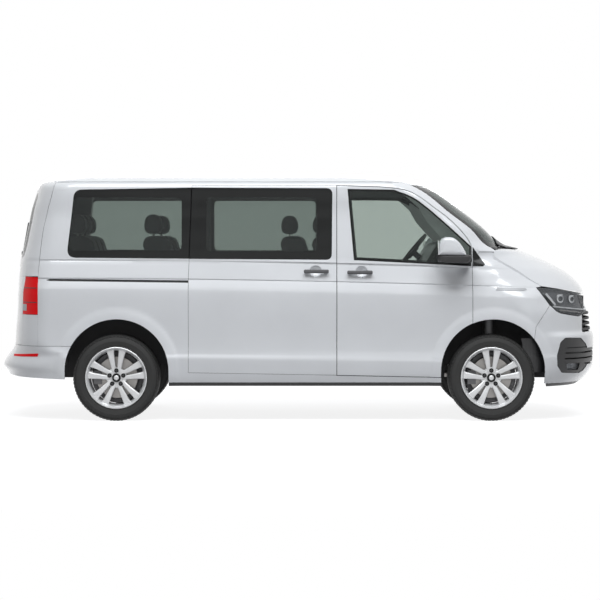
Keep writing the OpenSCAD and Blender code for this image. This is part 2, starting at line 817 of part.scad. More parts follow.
module rear_axle() {
    color("dimgray") union() {
        translate([rear_axle_x, 0, tyre_radius]) rotate([90, 0, 0])
            cylinder(r = 45, h = 2 * (disc_y - 60), center = true, $fn = 64);
        translate([rear_axle_x, 0, tyre_radius]) rotate([90, 0, 0])
            cylinder(r = hub_bore - seam, h = 2 * spindle_tip, center = true, $fn = 64);
        pair() {
            box([rear_axle_x - 40, rail_inner + 10, tyre_radius - 20],
                [rear_axle_x + 40, rail_outer - 10, rail_bottom - seam]);
            caliper(rear_axle_x, disc_y - 40);
            translate([rear_axle_x - 110, rear_house_inner - 70, 240])
                cylinder(r = 26, h = rail_top - 241, $fn = 40);
            box([rear_axle_x - 130, rear_house_inner - 100, tyre_radius - 40],
                [rear_axle_x, rear_house_inner - 50, tyre_radius + 20]);
        }
    }
}

module fuel_tank() {
    color("black") box([at_x(-420), 60, 290], [at_x(620), rail_inner - 20, rail_top - seam]);
}

// Exhaust pipe with its silencer, on the right of the tank and ending ahead of the rear axle.
pipe_radius = 28;
pipe_y = -210;
pipe_z = 340;
engine_pipe_z = rail_bottom + pipe_radius + 5;
riser_x = at_x(1345);
riser_radius = 33;
silencer_radius = 95;
module exhaust() {
    color("darkgray") union() {
        translate([riser_x, pipe_y, pipe_z]) rotate([0, -90, 0])
            cylinder(r = pipe_radius, h = riser_x - at_x(-700), $fn = 40);
        translate([at_x(-300), pipe_y, pipe_z]) rotate([0, -90, 0])
            cylinder(r = silencer_radius, h = 620, $fn = 64);
        translate([riser_x, pipe_y, pipe_z - riser_radius])
            cylinder(r = riser_radius, h = engine_pipe_z - pipe_z + 2 * riser_radius, $fn = 40);
        translate([riser_x, pipe_y, engine_pipe_z]) rotate([0, 90, 0])
            cylinder(r = pipe_radius, h = engine_x - seam - riser_x, $fn = 40);
    }
}

// Wheel rim with paired spokes, hub and brake disc. It is drawn for the left side.
barrel_wall = 14;
spoke_count = 5;
spoke_angle = 13;
spoke_width = 40;
spoke_wall = 40;
rim_face_y = wheel_y + 62;
hub_radius = 82;
bead_radius = rim_radius - 12;
module rim(x) {
    translate([x, 0, tyre_radius]) rotate([-90, 0, 0]) union() {
        rotate_extrude($fn = 96) {
            barrel_section(wheel_y - tyre_width / 2 + 2, wheel_y + tyre_width / 2 - 2);
            polygon([[hub_bore, disc_y], [disc_radius, disc_y], [disc_radius, disc_y + disc_wall],
                [hub_radius, disc_y + disc_wall], [hub_radius, rim_face_y + spoke_wall],
                    [hub_bore, rim_face_y + spoke_wall]]);
        }
        for (i = [0:spoke_count - 1]) for (side = [-1, 1])
            rotate([0, 0, -90 + i * 360 / spoke_count + side * spoke_angle])
                translate([hub_radius - 10, -spoke_width / 2, rim_face_y + 2])
                    cube([bead_radius - barrel_wall - hub_radius + 16, spoke_width, spoke_wall - 6]);
    }
}
// Barrel with a flange at each end, drawn as radius and place along the axle.
flange_wall = 10;
module barrel_section(low, high) {
    polygon([[bead_radius - barrel_wall, low], [rim_radius, low], [rim_radius, low + flange_wall],
        [bead_radius, low + flange_wall], [bead_radius, high - flange_wall], [rim_radius, high - flange_wall],
        [rim_radius, high], [bead_radius - barrel_wall, high]]);
}
module tyre(x) {
    translate([x, 0, tyre_radius]) rotate([-90, 0, 0]) translate([0, 0, wheel_y]) rotate_extrude($fn = 128)
        tyre_section();
}
module tyre_section() {
    half = tyre_width / 2;
    polygon([[bead_radius + seam, -half + 13], [rim_radius + 1, -half + 13], [rim_radius + 1, -half + 6],
        [rim_radius + 40, -half], [tyre_radius - 42, -half + 2], [tyre_radius - 12, -half + 12],
        [tyre_radius, -half + 34], [tyre_radius, half - 34], [tyre_radius - 12, half - 12],
        [tyre_radius - 42, half - 2], [rim_radius + 40, half], [rim_radius + 1, half - 6],
        [rim_radius + 1, half - 13], [bead_radius + seam, half - 13]]);
}
module rim_front_right() { color("silver") mirror([0, 1, 0]) rim(front_axle_x); }
module rim_front_left() { color("silver") rim(front_axle_x); }
module rim_rear_right() { color("silver") mirror([0, 1, 0]) rim(rear_axle_x); }
module rim_rear_left() { color("silver") rim(rear_axle_x); }
module tyre_front_right() { color("black") mirror([0, 1, 0]) tyre(front_axle_x); }
module tyre_front_left() { color("black") tyre(front_axle_x); }
module tyre_rear_right() { color("black") mirror([0, 1, 0]) tyre(rear_axle_x); }
module tyre_rear_left() { color("black") tyre(rear_axle_x); }

floor_pan();
wheelhouses();
chassis_rails();
right_side_panel();
left_side_panel();
roof();
roof_rack_points();
wings();
firewall();
cowl();
front_bumper();
grille();
headlamps();
rear_bumper();
tail_lamps();
windscreen();
side_glass();
sliding_door();
sliding_door_glass();
dashboard();
front_seats();
second_row_seats();
third_row_seats();
engine_block();
front_subframe();
rear_axle();
fuel_tank();
exhaust();
bonnet();
tailgate();
tailgate_glass();
right_door();
right_door_glass();
right_mirror();
left_door();
left_door_glass();
left_mirror();
right_knuckle();
left_knuckle();
rim_front_right();
rim_front_left();
rim_rear_right();
rim_rear_left();
tyre_front_right();
tyre_front_left();
tyre_rear_right();
tyre_rear_left();
steering_wheel();
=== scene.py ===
import math
import bpy
import bmesh
from mathutils import Vector, Matrix


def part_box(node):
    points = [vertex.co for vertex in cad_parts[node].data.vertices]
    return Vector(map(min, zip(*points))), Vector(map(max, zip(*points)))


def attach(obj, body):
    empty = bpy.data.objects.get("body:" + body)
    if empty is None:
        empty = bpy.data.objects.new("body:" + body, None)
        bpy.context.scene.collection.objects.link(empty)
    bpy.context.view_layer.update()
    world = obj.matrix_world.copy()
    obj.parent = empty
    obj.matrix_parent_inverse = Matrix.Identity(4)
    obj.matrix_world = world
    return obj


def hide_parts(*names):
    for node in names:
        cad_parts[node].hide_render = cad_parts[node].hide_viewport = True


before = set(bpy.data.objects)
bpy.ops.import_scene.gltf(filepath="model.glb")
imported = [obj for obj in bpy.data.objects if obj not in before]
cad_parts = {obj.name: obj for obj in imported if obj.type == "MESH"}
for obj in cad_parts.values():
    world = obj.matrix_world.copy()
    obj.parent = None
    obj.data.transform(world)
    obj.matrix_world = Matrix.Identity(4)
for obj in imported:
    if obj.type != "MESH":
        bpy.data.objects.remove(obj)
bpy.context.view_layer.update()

# Minibus: draped body panels, glass, lamps, wheels and cabin, in metres, +X forward, +Y left.
halfPi = math.pi / 2


# Wraps a shader socket so that node maths reads as an expression.
class Sock:
    def __init__(self, tree, socket):
        self.tree = tree
        self.socket = socket

    def math(self, operation, *others):
        node = self.tree.nodes.new("ShaderNodeMath")
        node.operation = operation
        for index, value in enumerate((self,) + others):
            plug(self.tree, node.inputs[index], value)
        return Sock(self.tree, node.outputs[0])

    def __add__(self, other): return self.math("ADD", other)
    def __mul__(self, other): return self.math("MULTIPLY", other)


def plug(tree, target, value):
    if isinstance(value, Sock):
        tree.links.new(value.socket, target)
    elif isinstance(value, (tuple, list)) and len(value) == 3 and len(target.default_value) == 4:
        target.default_value = (*value, 1.0)
    else:
        target.default_value = value


class Shader:
    def __init__(self, name, owner=None):
        self.material = owner or bpy.data.materials.new(name)
        self.material.use_nodes = True
        self.tree = self.material.node_tree
        self.tree.nodes.clear()
        self.place = self.node("TexCoord", out="Object")

    def node(self, kind, settings=None, out=0, **inputs):
        made = self.tree.nodes.new("ShaderNode" + kind)
        for key, value in (settings or {}).items():
            if key == "stops":
                ramp = made.color_ramp
                for index, (position, shade) in enumerate(value):
                    stop = ramp.elements[index] if index < 2 else ramp.elements.new(position)
                    stop.position = position
                    stop.color = (*shade, 1.0) if isinstance(shade, tuple) else (shade, shade, shade, 1.0)
            else:
                setattr(made, key, value)
        for key, value in inputs.items():
            wanted = key.replace("_", " ")
            matches = [s for s in made.inputs if s.name == wanted and s.enabled]
            plug(self.tree, matches[0], value)
        return Sock(self.tree, made.outputs[out])

    def noise(self, scale, detail=3.0, stretch=None):
        where = self.place
        if stretch:
            where = self.node("Mapping", Vector=where, Scale=stretch)
        return self.node("TexNoise", Vector=where, Scale=scale, Detail=detail)

    def ramp(self, value, stops):
        return self.node("ValToRGB", {"stops": stops}, Fac=value)

    def mix(self, factor, first, second):
        made = self.tree.nodes.new("ShaderNodeMix")
        made.data_type = "RGBA"
        plug(self.tree, made.inputs[0], factor)
        plug(self.tree, made.inputs[6], first)
        plug(self.tree, made.inputs[7], second)
        return Sock(self.tree, made.outputs[2])

    def blend(self, factor, one, two):
        made = self.tree.nodes.new("ShaderNodeMixShader")
        plug(self.tree, made.inputs[0], factor)
        self.tree.links.new(one.socket, made.inputs[1])
        self.tree.links.new(two.socket, made.inputs[2])
        return Sock(self.tree, made.outputs[0])

    def bump(self, height, strength=0.2, distance=0.001):
        return self.node("Bump", Height=height, Strength=strength, Distance=distance)

    def principled(self, **inputs):
        return self.node("BsdfPrincipled", **inputs)

    # 1 for rays that meet the white studio, 0 for those that are lit by it.
    def straightRays(self):
        path = self.tree.nodes.new("ShaderNodeLightPath")
        seen = Sock(self.tree, path.outputs["Is Camera Ray"])
        for other in ("Is Glossy Ray", "Is Transmission Ray"):
            seen = seen.math("MAXIMUM", Sock(self.tree, path.outputs[other]))
        return seen

    def close(self, surface, kind="Material"):
        end = self.tree.nodes.new("ShaderNodeOutput" + kind)
        self.tree.links.new(surface.socket, end.inputs["Surface"])
        return self.material


def paintMaterial():
    s = Shader("whitePaint")
    flake = s.noise(900.0, 2.0)
    dirt = s.noise(2.2, 4.0)
    tone = s.mix(s.ramp(dirt, [(0.35, 0.0), (0.75, 1.0)]), (0.8, 0.815, 0.84), (0.765, 0.78, 0.805))
    rough = s.noise(6.0, 3.0) * 0.06 + 0.22
    peel = s.bump(s.noise(160.0, 1.0) + flake * 0.2, 0.04, 0.0006)
    return s.close(s.principled(Base_Color=tone, Roughness=rough, Coat_Weight=0.9, Coat_Roughness=0.04, Normal=peel))


# A glow given here is painted light; only the pillar trim has one.
def plasticMaterial(name, colour, rough=0.5, grain=260.0, depth=0.25, vary=0.25, sheen=0.5, glow=(0, 0, 0)):
    s = Shader(name)
    patch = s.noise(9.0, 3.0)
    dark = tuple(c * (1 - vary) for c in colour)
    tone = s.mix(patch, dark, tuple(min(1.0, c * (1 + vary)) for c in colour))
    texture = s.noise(grain, 2.0)
    roughness = patch * 0.12 + (rough - 0.06)
    return s.close(s.principled(Base_Color=tone, Roughness=roughness, Specular_IOR_Level=sheen,
                                Emission_Color=glow, Emission_Strength=1.0,
                                Normal=s.bump(texture, depth, 0.0005)))


def metalMaterial(name, colour, rough=0.35, brushed=None, metallic=1.0, coat=0.0):
    s = Shader(name)
    patch = s.noise(14.0, 4.0)
    tone = s.mix(patch, tuple(c * 0.85 for c in colour), colour)
    fine = s.noise(300.0, 2.0, brushed) if brushed else s.noise(420.0, 2.0)
    roughness = patch * 0.14 + (rough - 0.07)
    return s.close(s.principled(Base_Color=tone, Roughness=roughness, Metallic=metallic, Coat_Weight=coat,
                                Normal=s.bump(fine, 0.12, 0.0004)))


def glassMaterial(name, tint, body=(0.3, 0.32, 0.31), paintedHaze=0.06, gleam=0.9):
    s = Shader(name)
    smear = s.noise(5.0, 3.0)
    clear = s.node("BsdfTransparent", Color=tint)
    face = s.principled(Base_Color=body, Roughness=smear * 0.03 + 0.01)
    edge = s.node("Fresnel", IOR=1.5)
    # A fixed share of the grey face is mixed in everywhere: painted reflection haze that lightens what is seen
    # through the glass.
    weight = edge * gleam + paintedHaze
    return s.close(s.blend(weight, clear, face))


def rubberMaterial():
    s = Shader("tyreRubber")
    dust = s.noise(18.0, 4.0)
    tone = s.mix(dust, (0.01, 0.01, 0.01), (0.022, 0.022, 0.021))
    texture = s.noise(340.0, 2.0)
    return s.close(s.principled(Base_Color=tone, Roughness=dust * 0.15 + 0.62, Normal=s.bump(texture, 0.3, 0.0006)))


def clothMaterial(name, colour, scale):
    s = Shader(name)
    weaveA = s.node("TexWave", {"bands_direction": "Y"}, out=1, Vector=s.place, Scale=scale, Distortion=1.2)
    weaveB = s.node("TexWave", {"bands_direction": "Z"}, out=1, Vector=s.place, Scale=scale, Distortion=1.2)
    weave = weaveA * weaveB
    fibre = s.noise(700.0, 3.0)
    tone = s.mix(fibre * 0.6 + weave * 0.4, tuple(c * 0.6 for c in colour), tuple(c * 1.5 for c in colour))
    return s.close(s.principled(Base_Color=tone, Roughness=fibre * 0.1 + 0.82, Sheen_Weight=0.35,
                                Normal=s.bump(weave + fibre * 0.5, 0.35, 0.0008)))


# The faint red glow is painted light, on the tail lamps, stop lamp and reflectors alike.
def redLensMaterial():
    s = Shader("redLens")
    cells = s.node("TexVoronoi", {"feature": "F1"}, Vector=s.place, Scale=110.0)
    deep = s.noise(7.0)
    tone = s.mix(deep, (0.5, 0.004, 0.006), (0.66, 0.008, 0.01))
    return s.close(s.principled(Base_Color=tone, Roughness=cells * 0.15 + 0.3, Specular_IOR_Level=0.1,
                                Emission_Color=(0.2, 0.002, 0.003), Emission_Strength=1.0,
                                Normal=s.bump(cells, 0.25, 0.0008)))


mats = {
    "paint": paintMaterial(),
    "black": plasticMaterial("blackPlastic", (0.018, 0.018, 0.019), 0.42),
    "gloss": plasticMaterial("glossBlack", (0.01, 0.011, 0.011), 0.14, 90.0, 0.03, sheen=0.22),
    "grey": plasticMaterial("greyPlastic", (0.1, 0.1, 0.105), 0.55),
    "trim": plasticMaterial("cabinTrim", (0.045, 0.046, 0.05), 0.62),
    "lining": plasticMaterial("paleLining", (0.42, 0.42, 0.41), 0.8, 380.0, 0.4),
    # pale: the dish behind each door handle has it as painted shade; other parts have it as their own colour.
    "pale": plasticMaterial("paleGreyAndPaintedDishShade", (0.5, 0.51, 0.53), 0.35),
    "under": plasticMaterial("underSeal", (0.035, 0.035, 0.036), 0.7, 80.0, 0.5),
    "alloy": metalMaterial("alloySilver", (0.78, 0.785, 0.79), 0.34, metallic=0.35, coat=0.4),
    "steel": metalMaterial("discSteel", (0.3, 0.29, 0.28), 0.38),
    "cast": metalMaterial("castMetal", (0.16, 0.16, 0.165), 0.55),
    # The pillar trim's pale base and faint glow are painted light that brightens it inside the dim cabin.
    "shade": plasticMaterial("pillarTrimPaintedGlow", (0.7, 0.72, 0.71), 0.75, glow=(0.075, 0.082, 0.08)),
    "chrome": metalMaterial("brightMetal", (0.75, 0.76, 0.77), 0.12),
    "clear": glassMaterial("clearGlass", (0.805, 0.84, 0.82), paintedHaze=0.045),
    "tinted": glassMaterial("tintedGlass", (0.665, 0.705, 0.685), paintedHaze=0.085),
    "lens": glassMaterial("lampLens", (0.96, 0.965, 0.97), (0.35, 0.36, 0.37), 0.02, 0.22),
    "red": redLensMaterial(),
    "rubber": rubberMaterial(),
    "cloth": clothMaterial("seatCloth", (0.03, 0.031, 0.036), 520.0),
}


print("materials ready")


def pick(obj):
    bpy.ops.object.select_all(action="DESELECT")
    obj.select_set(True)
    bpy.context.view_layer.objects.active = obj
    return obj


def applyModifiers(obj):
    pick(obj)
    for name in [m.name for m in obj.modifiers]:
        bpy.ops.object.modifier_apply(modifier=name)
    return obj


def shaped(obj, kind, **settings):
    made = obj.modifiers.new(kind.lower(), kind)
    for key, value in settings.items():
        setattr(made, key, value)
    return applyModifiers(obj)


# The object's place, turn and size go into its mesh.
def freeze(obj):
    pick(obj)
    bpy.ops.object.transform_apply(location=True, rotation=True, scale=True)
    return obj


def linked(name, data):
    obj = bpy.data.objects.new(name, data)
    bpy.context.scene.collection.objects.link(obj)
    return obj


def copyOf(obj, name):
    twin = obj.copy()
    twin.data = obj.data.copy()
    twin.name = name
    bpy.context.scene.collection.objects.link(twin)
    return twin


# A mesh turned over to the other side of the body.
def flipped(obj):
    obj.data.transform(Matrix.Scale(-1, 4, (0, 1, 0)))
    obj.data.flip_normals()
    return obj


def fromMesh(name, verts, faces):
    mesh = bpy.data.meshes.new(name)
    mesh.from_pydata([tuple(v) for v in verts], [], faces)
    obj = linked(name, mesh)
    return obj


def fromWork(name, work):
    bmesh.ops.recalc_face_normals(work, faces=work.faces)
    mesh = bpy.data.meshes.new(name)
    work.to_mesh(mesh)
    work.free()
    return linked(name, mesh)


# A grid whose corners run 0..1 both ways, draped onto a surface by place(u, v).
def sheetFrom(name, columns, rows, place):
    bpy.ops.object.select_all(action="DESELECT")
    bpy.ops.mesh.primitive_grid_add(x_subdivisions=columns, y_subdivisions=rows, size=1)
    obj = bpy.context.active_object
    obj.name = name
    for vertex in obj.data.vertices:
        vertex.co = place(vertex.co.x + 0.5, vertex.co.y + 0.5)
    return obj


# Gives a sheet its thickness inwards. inner is a step in its list of materials.
def thicken(obj, wall, inner):
    return shaped(obj, "SOLIDIFY", thickness=wall, offset=-1, use_even_offset=False,
                  material_offset=inner, material_offset_rim=0)


# A painted sheet with a wall. A second key is the finish of its inner face.
def walled(obj, wall, *keys):
    paintAs(obj, *keys)
    return thicken(obj, wall, len(keys) - 1)


# A closed solid from an outline, which runs (x, z) for axis Y, (y, z) for axis X and (x, y) for axis Z.
def prism(points, axis, low, high):
    def at(p, depth):
        return {"Y": (p[0], depth, p[1]), "X": (depth, p[0], p[1]), "Z": (p[0], p[1], depth)}[axis]
    n = len(points)
    verts = [at(p, low) for p in points] + [at(p, high) for p in points]
    faces = [tuple(range(n)), tuple(range(2 * n - 1, n - 1, -1))]
    faces += [(i, i + n, (i + 1) % n + n, (i + 1) % n) for i in range(n)]
    obj = fromMesh("cutter", verts, faces)
    refacing(obj)
    return obj


def refacing(obj):
    work = bmesh.new()
    work.from_mesh(obj.data)
    bmesh.ops.remove_doubles(work, verts=work.verts, dist=1e-6)
    bmesh.ops.recalc_face_normals(work, faces=work.faces)
    work.to_mesh(obj.data)
    work.free()
    return obj


# Faces left by a cut take the piece's first finish.
def cut(obj, cutter, how="INTERSECT", solver="MANIFOLD"):
    shaped(obj, "BOOLEAN", operation=how, solver=solver, object=cutter)
    for index, material in enumerate(obj.data.materials):
        if material is None:
            obj.data.materials[index] = obj.data.materials[0]
    bpy.data.objects.remove(cutter)
    return obj


# How far cuts run: through the right side, the tail, the nose and the bonnet.
nearSide, farIn, tailEnd, noseEnd, overBonnet = (-1.6, -0.45), (-1.6, -0.2), (-3.0, -1.5), (1.5, 3.0), (0.8, 1.6)
bumperSides = ((-1.2, -0.4), (0.4, 1.2))
throughPane = (-1.6, -0.4)


# Keeps what lies inside an outline.
def keepIn(obj, outline, axis="Y", low=-1.2, high=1.2):
    return cut(obj, prism(outline, axis, low, high))


# Takes out what lies inside an outline.
def takeOut(obj, outline, axis="Y", low=-1.2, high=1.2):
    return cut(obj, prism(outline, axis, low, high), "DIFFERENCE")


def smooth(obj, angle=32):
    pick(obj)
    bpy.ops.object.shade_smooth_by_angle(angle=math.radians(angle))
    return obj


def paintAs(obj, *keys):
    obj.data.materials.clear()
    for key in keys:
        obj.data.materials.append(mats[key])
    return obj


def join(name, pieces):
    bpy.ops.object.select_all(action="DESELECT")
    for piece in pieces:
        piece.select_set(True)
    bpy.context.view_layer.objects.active = pieces[0]
    bpy.ops.object.join()
    pieces[0].name = name
    return pieces[0]


# The same piece on the other side of the body.
def mirrored(obj, name):
    return flipped(copyOf(obj, name))


def finish(obj, body, slot, *nodes):
    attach(obj, body)
    if nodes:
        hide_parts(*nodes)
    return obj


# An outline with its corners turned into arcs. radius is one number or one for each corner.
def rounded(points, radius, steps=6):
    out = []
    n = len(points)
    for i in range(n):
        r = radius[i] if isinstance(radius, (list, tuple)) else radius
        p = Vector(points[i])
        before = Vector(points[i - 1]) - p
        after = Vector(points[(i + 1) % n]) - p
        half = before.angle(after) / 2
        if r <= 0 or half > halfPi * 0.97:
            out.append(tuple(p))
            continue
        back = min(r / math.tan(half), before.length * 0.48, after.length * 0.48)
        start = p + before.normalized() * back
        end = p + after.normalized() * back
        for k in range(steps + 1):
            t = k / steps
            out.append(tuple((1 - t) ** 2 * start + 2 * t * (1 - t) * p + t * t * end))
    return out


# An outline moved inwards by gap, or outwards where gap is negative.
def inset(points, gap):
    area = sum(a[0] * b[1] - b[0] * a[1] for a, b in zip(points, points[1:] + points[:1]))
    turn = 1 if area > 0 else -1
    out = []
    n = len(points)
    for i in range(n):
        p = Vector(points[i])
        one = (p - Vector(points[i - 1])).normalized()
        two = (Vector(points[(i + 1) % n]) - p).normalized()
        normalOne = Vector((-one.y, one.x)) * turn
        normalTwo = Vector((-two.y, two.x)) * turn
        middle = normalOne + normalTwo
        if middle.length < 1e-6:
            middle = normalOne
        middle.normalize()
        out.append(tuple(p + middle * gap / max(0.35, middle.dot(normalOne))))
    return out


# A smooth open line through the points.
def curveThrough(points, steps=5):
    out = []
    for i in range(len(points) - 1):
        p0 = Vector(points[max(0, i - 1)])
        p1 = Vector(points[i])
        p2 = Vector(points[i + 1])
        p3 = Vector(points[min(len(points) - 1, i + 2)])
        for k in range(steps):
            t = k / steps
            out.append(tuple(0.5 * (2 * p1 + (p2 - p0) * t + (2 * p0 - 5 * p1 + 4 * p2 - p3) * t * t
                                    + (3 * p1 - p0 - 3 * p2 + p3) * t ** 3)))
    out.append(tuple(points[-1]))
    return out


def circle(cx, cz, radius, start, end, steps):
    return [(cx + radius * math.cos(math.radians(start + (end - start) * k / steps)),
             cz + radius * math.sin(math.radians(start + (end - start) * k / steps))) for k in range(steps + 1)]


# A box from corner to corner with rounded edges.
def block(name, low, high, bevel=0.004, segments=2):
    bpy.ops.object.select_all(action="DESELECT")
    centre = [(a + b) / 2 for a, b in zip(low, high)]
    bpy.ops.mesh.primitive_cube_add(size=1, location=centre)
    obj = bpy.context.active_object
    obj.name = name
    obj.scale = [b - a for a, b in zip(low, high)]
    freeze(obj)
    shaped(obj, "BEVEL", width=bevel, segments=segments)
    return smooth(obj, 40)


# Spins a profile of (radius, along) points about the Y axis.
def lathe(name, profile, steps=96, closed=False):
    verts = [(r, along, 0) for r, along in profile]
    obj = fromMesh(name, verts, [])
    edges = [(i, i + 1) for i in range(len(verts) - 1)] + ([(len(verts) - 1, 0)] if closed else [])
    obj.data.clear_geometry()
    obj.data.from_pydata(verts, edges, [])
    pick(obj)
    bpy.ops.object.mode_set(mode="EDIT")
    bpy.ops.mesh.select_all(action="SELECT")
    bpy.ops.mesh.spin(steps=steps, angle=2 * math.pi, center=(0, 0, 0), axis=(0, 1, 0))
    bpy.ops.mesh.select_all(action="SELECT")
    bpy.ops.mesh.remove_doubles(threshold=1e-5)
    bpy.ops.mesh.normals_make_consistent(inside=False)
    bpy.ops.object.mode_set(mode="OBJECT")
    return smooth(obj, 30)


# A round bar along a line of points, with closed ends.
def tube(name, points, radius, sides=12):
    curve = bpy.data.curves.new(name, "CURVE")
    curve.dimensions = "3D"
    curve.bevel_depth = radius
    curve.bevel_resolution = max(1, sides // 4)
    curve.use_fill_caps = True
    line = curve.splines.new("POLY")
    line.points.add(len(points) - 1)
    for spot, p in zip(line.points, points):
        spot.co = (*p, 1)
    obj = linked(name, curve)
    pick(obj)
    bpy.ops.object.convert(target="MESH")
    return smooth(bpy.context.active_object, 40)


body = {
    "halfWidth": 0.952, "nose": 2.452, "tail": -2.452, "frontAxle": 1.543, "rearAxle": -1.457,
    "archRadius": 0.415, "archHeight": 0.4, "gap": 0.0055,
    "flare": 0.012, "flareBand": 0.088, "wrap": 0.75,
}
# height, setback from nose, setback from tail, setback from side, front corner and rear corner length
levels = [
    (0.235, 0.19, 0.11, 0.05, 0.54, 0.5), (0.3, 0.095, 0.08, 0.03, 0.56, 0.52),
    (0.375, 0.034, 0.046, 0.012, 0.59, 0.58), (0.43, 0.007, 0.01, 0.008, 0.6, 0.6),
    (0.505, 0.0, 0.047, 0.004, 0.6, 0.58), (0.54, 0.0, 0.078, 0.01, 0.6, 0.5),
    (0.6, 0.0, 0.11, 0.012, 0.6, 0.36), (0.66, 0.002, 0.115, 0.012, 0.61, 0.34),
    (0.72, 0.022, 0.118, 0.011, 0.62, 0.34), (0.86, 0.038, 0.131, 0.009, 0.64, 0.34),
    (0.955, 0.069, 0.135, 0.009, 0.69, 0.34), (1.005, 0.08, 0.136, 0.009, 0.73, 0.34),
    (1.045, 0.098, 0.139, 0.01, 0.79, 0.34), (1.085, 0.124, 0.142, 0.012, 0.85, 0.34),
    (1.14, 0.176, 0.143, 0.016, 0.91, 0.34), (1.205, 0.262, 0.148, 0.016, 0.93, 0.34),
    (1.25, 0.348, 0.15, 0.016, 0.92, 0.34), (1.29, 0.43, 0.155, 0.017, 0.88, 0.34),
    (1.325, 0.516, 0.163, 0.02, 0.78, 0.34), (1.361, 0.61, 0.173, 0.023, 0.6, 0.34),
    (1.4, 0.752, 0.182, 0.028, 0.43, 0.34), (1.557, 0.931, 0.215, 0.047, 0.32, 0.34),
    (1.69, 1.099, 0.242, 0.07, 0.31, 0.34), (1.817, 1.267, 0.281, 0.092, 0.32, 0.34),
    (1.882, 1.366, 0.301, 0.106, 0.35, 0.34), (1.922, 1.434, 0.325, 0.15, 0.42, 0.38),
    (1.945, 1.518, 0.362, 0.215, 0.5, 0.42), (1.965, 1.64, 0.392, 0.31, 0.59, 0.46),
    (1.978, 1.854, 0.53, 0.42, 0.7, 0.5), (1.986, 2.15, 0.87, 0.54, 0.7, 0.5),
    (1.99, 2.5, 1.3, 0.7, 0.6, 0.5)]
frontPower = 0.77
rearPower = 0.66


frontArch = body["frontAxle"] + 0.011
rearArch = body["rearAxle"] + 0.005


# Slopes that keep a curve through the levels free of overshoot.
def slopes(column):
    zs = [row[0] for row in levels]
    ys = [row[column] for row in levels]
    steps = [(ys[i + 1] - ys[i]) / (zs[i + 1] - zs[i]) for i in range(len(zs) - 1)]
    out = [steps[0]]
    for i in range(1, len(steps)):
        a, b = steps[i - 1], steps[i]
        out.append(0.0 if a * b <= 0 else 2 * a * b / (a + b))
    return out + [steps[-1]]


levelSlopes = [slopes(column) for column in range(1, 6)]


# The five measures of the body's outline at a height.
def levelAt(z):
    z = min(max(z, levels[0][0]), levels[-1][0])
    i = 0
    while i < len(levels) - 2 and z > levels[i + 1][0]:
        i += 1
    span = levels[i + 1][0] - levels[i][0]
    t = (z - levels[i][0]) / span
    a = (1 + 2 * t) * (1 - t) ** 2
    b = t * (1 - t) ** 2 * span
    c = t * t * (3 - 2 * t)
    d = t * t * (t - 1) * span
    return [a * levels[i][k] + b * levelSlopes[k - 1][i] + c * levels[i + 1][k] + d * levelSlopes[k - 1][i + 1]
            for k in range(1, 6)]


def ease(t):
    t = min(max(t, 0.0), 1.0)
    return t * t * (3 - 2 * t)


def shoulderAt(x):
    return 1.1194 - 0.02 * x - 0.0048 * x * x


def creaseAt(x):
    return 0.523 - 0.0163 * x


# How far the pressed lines and arch flares stand proud of the plain side, in metres.
def relief(x, z):
    up = z - shoulderAt(x)
    force = 1 - 0.65 * ease((x - 1.3) / 0.32)
    if up > 0:
        out = -0.018 + 0.007 * ease(up / 0.005) - 0.036 * min(1.0, up / 0.14) + 0.008 * ease((up - 0.142) / 0.01)
        out += 0.038 * ease((z - 1.6) / 0.27)
        out *= force
    else:
        out = -0.018 * force + 0.026 * min(1.0, -up / 0.082) - 0.01 * ease((-up - 0.1) / 0.38)
    out -= 0.006 * ease((z - 1.27) / 0.018)
    out *= 1 - ease((x - 1.86) / 0.14)
    middle = ease((x + 1.9) / 0.06) * (1 - ease((x - 1.2) / 0.08))
    low = z - creaseAt(x)
    out += (0.0065 * min(1.0, max(0.0, -low / 0.03)) - 0.006 * ease((-low - 0.035) / 0.15)) * middle
    out += 0.012 * ease((0.597 - z) / 0.055) * (1 - ease((x + 1.9) / 0.08))
    out -= 0.018 * ease((z - 0.668) / 0.05) * ease((x - 1.97) / 0.14) * (1 - ease((z - 0.86) / 0.12))
    for axleX in (frontArch, rearArch):
        reach = math.hypot(x - axleX, max(0.0, z - body["archHeight"])) - body["archRadius"]
        if reach < body["flareBand"]:
            grow = ease((body["flareBand"] - reach) / 0.024)
            out += (body["flare"] * (0.45 + 0.55 * ease(1 - reach / body["flareBand"])) - min(0.0, out)) * grow
    return out


# Half width of the body at a place in side view.
def sideY(x, z, plain=False):
    front, rear, side, frontLength, rearLength = levelAt(z)
    frontX = body["nose"] - front
    rearX = body["tail"] + rear
    reach = body["halfWidth"] - side + (0.0 if plain else relief(x, z))
    if x > frontX - frontLength:
        c = min(1.0, max(0.0, 1 - (frontX - x) / frontLength))
        return reach * max(1e-9, math.sqrt(max(0.0, 1 - c * c))) ** frontPower
    if x < rearX + rearLength:
        c = min(1.0, max(0.0, 1 - (x - rearX) / rearLength))
        return reach * max(1e-9, math.sqrt(max(0.0, 1 - c * c))) ** rearPower
    return reach


# A point of the front or rear outline. t runs across from -1 to 1, and its ends lie along the sides.
def endPoint(t, z, rear=False, depth=0.0):
    front, back, side, frontLength, rearLength = levelAt(z)
    length, power = (rearLength, rearPower) if rear else (frontLength, frontPower)
    share = abs(t) / 0.8
    if share > 1:
        along = length + (share - 1) * 4 * body["wrap"]
        swing = 1.0
    else:
        angle = halfPi * share ** (2 if rear else 1.3)
        along = length * (1 - math.cos(angle))
        swing = math.sin(angle) ** power
    x = body["tail"] + back + along + depth if rear else body["nose"] - front - along - depth
    reach = (body["halfWidth"] - side + relief(x, z) - depth) * swing
    return Vector((x, math.copysign(reach, -t if rear else t), z))


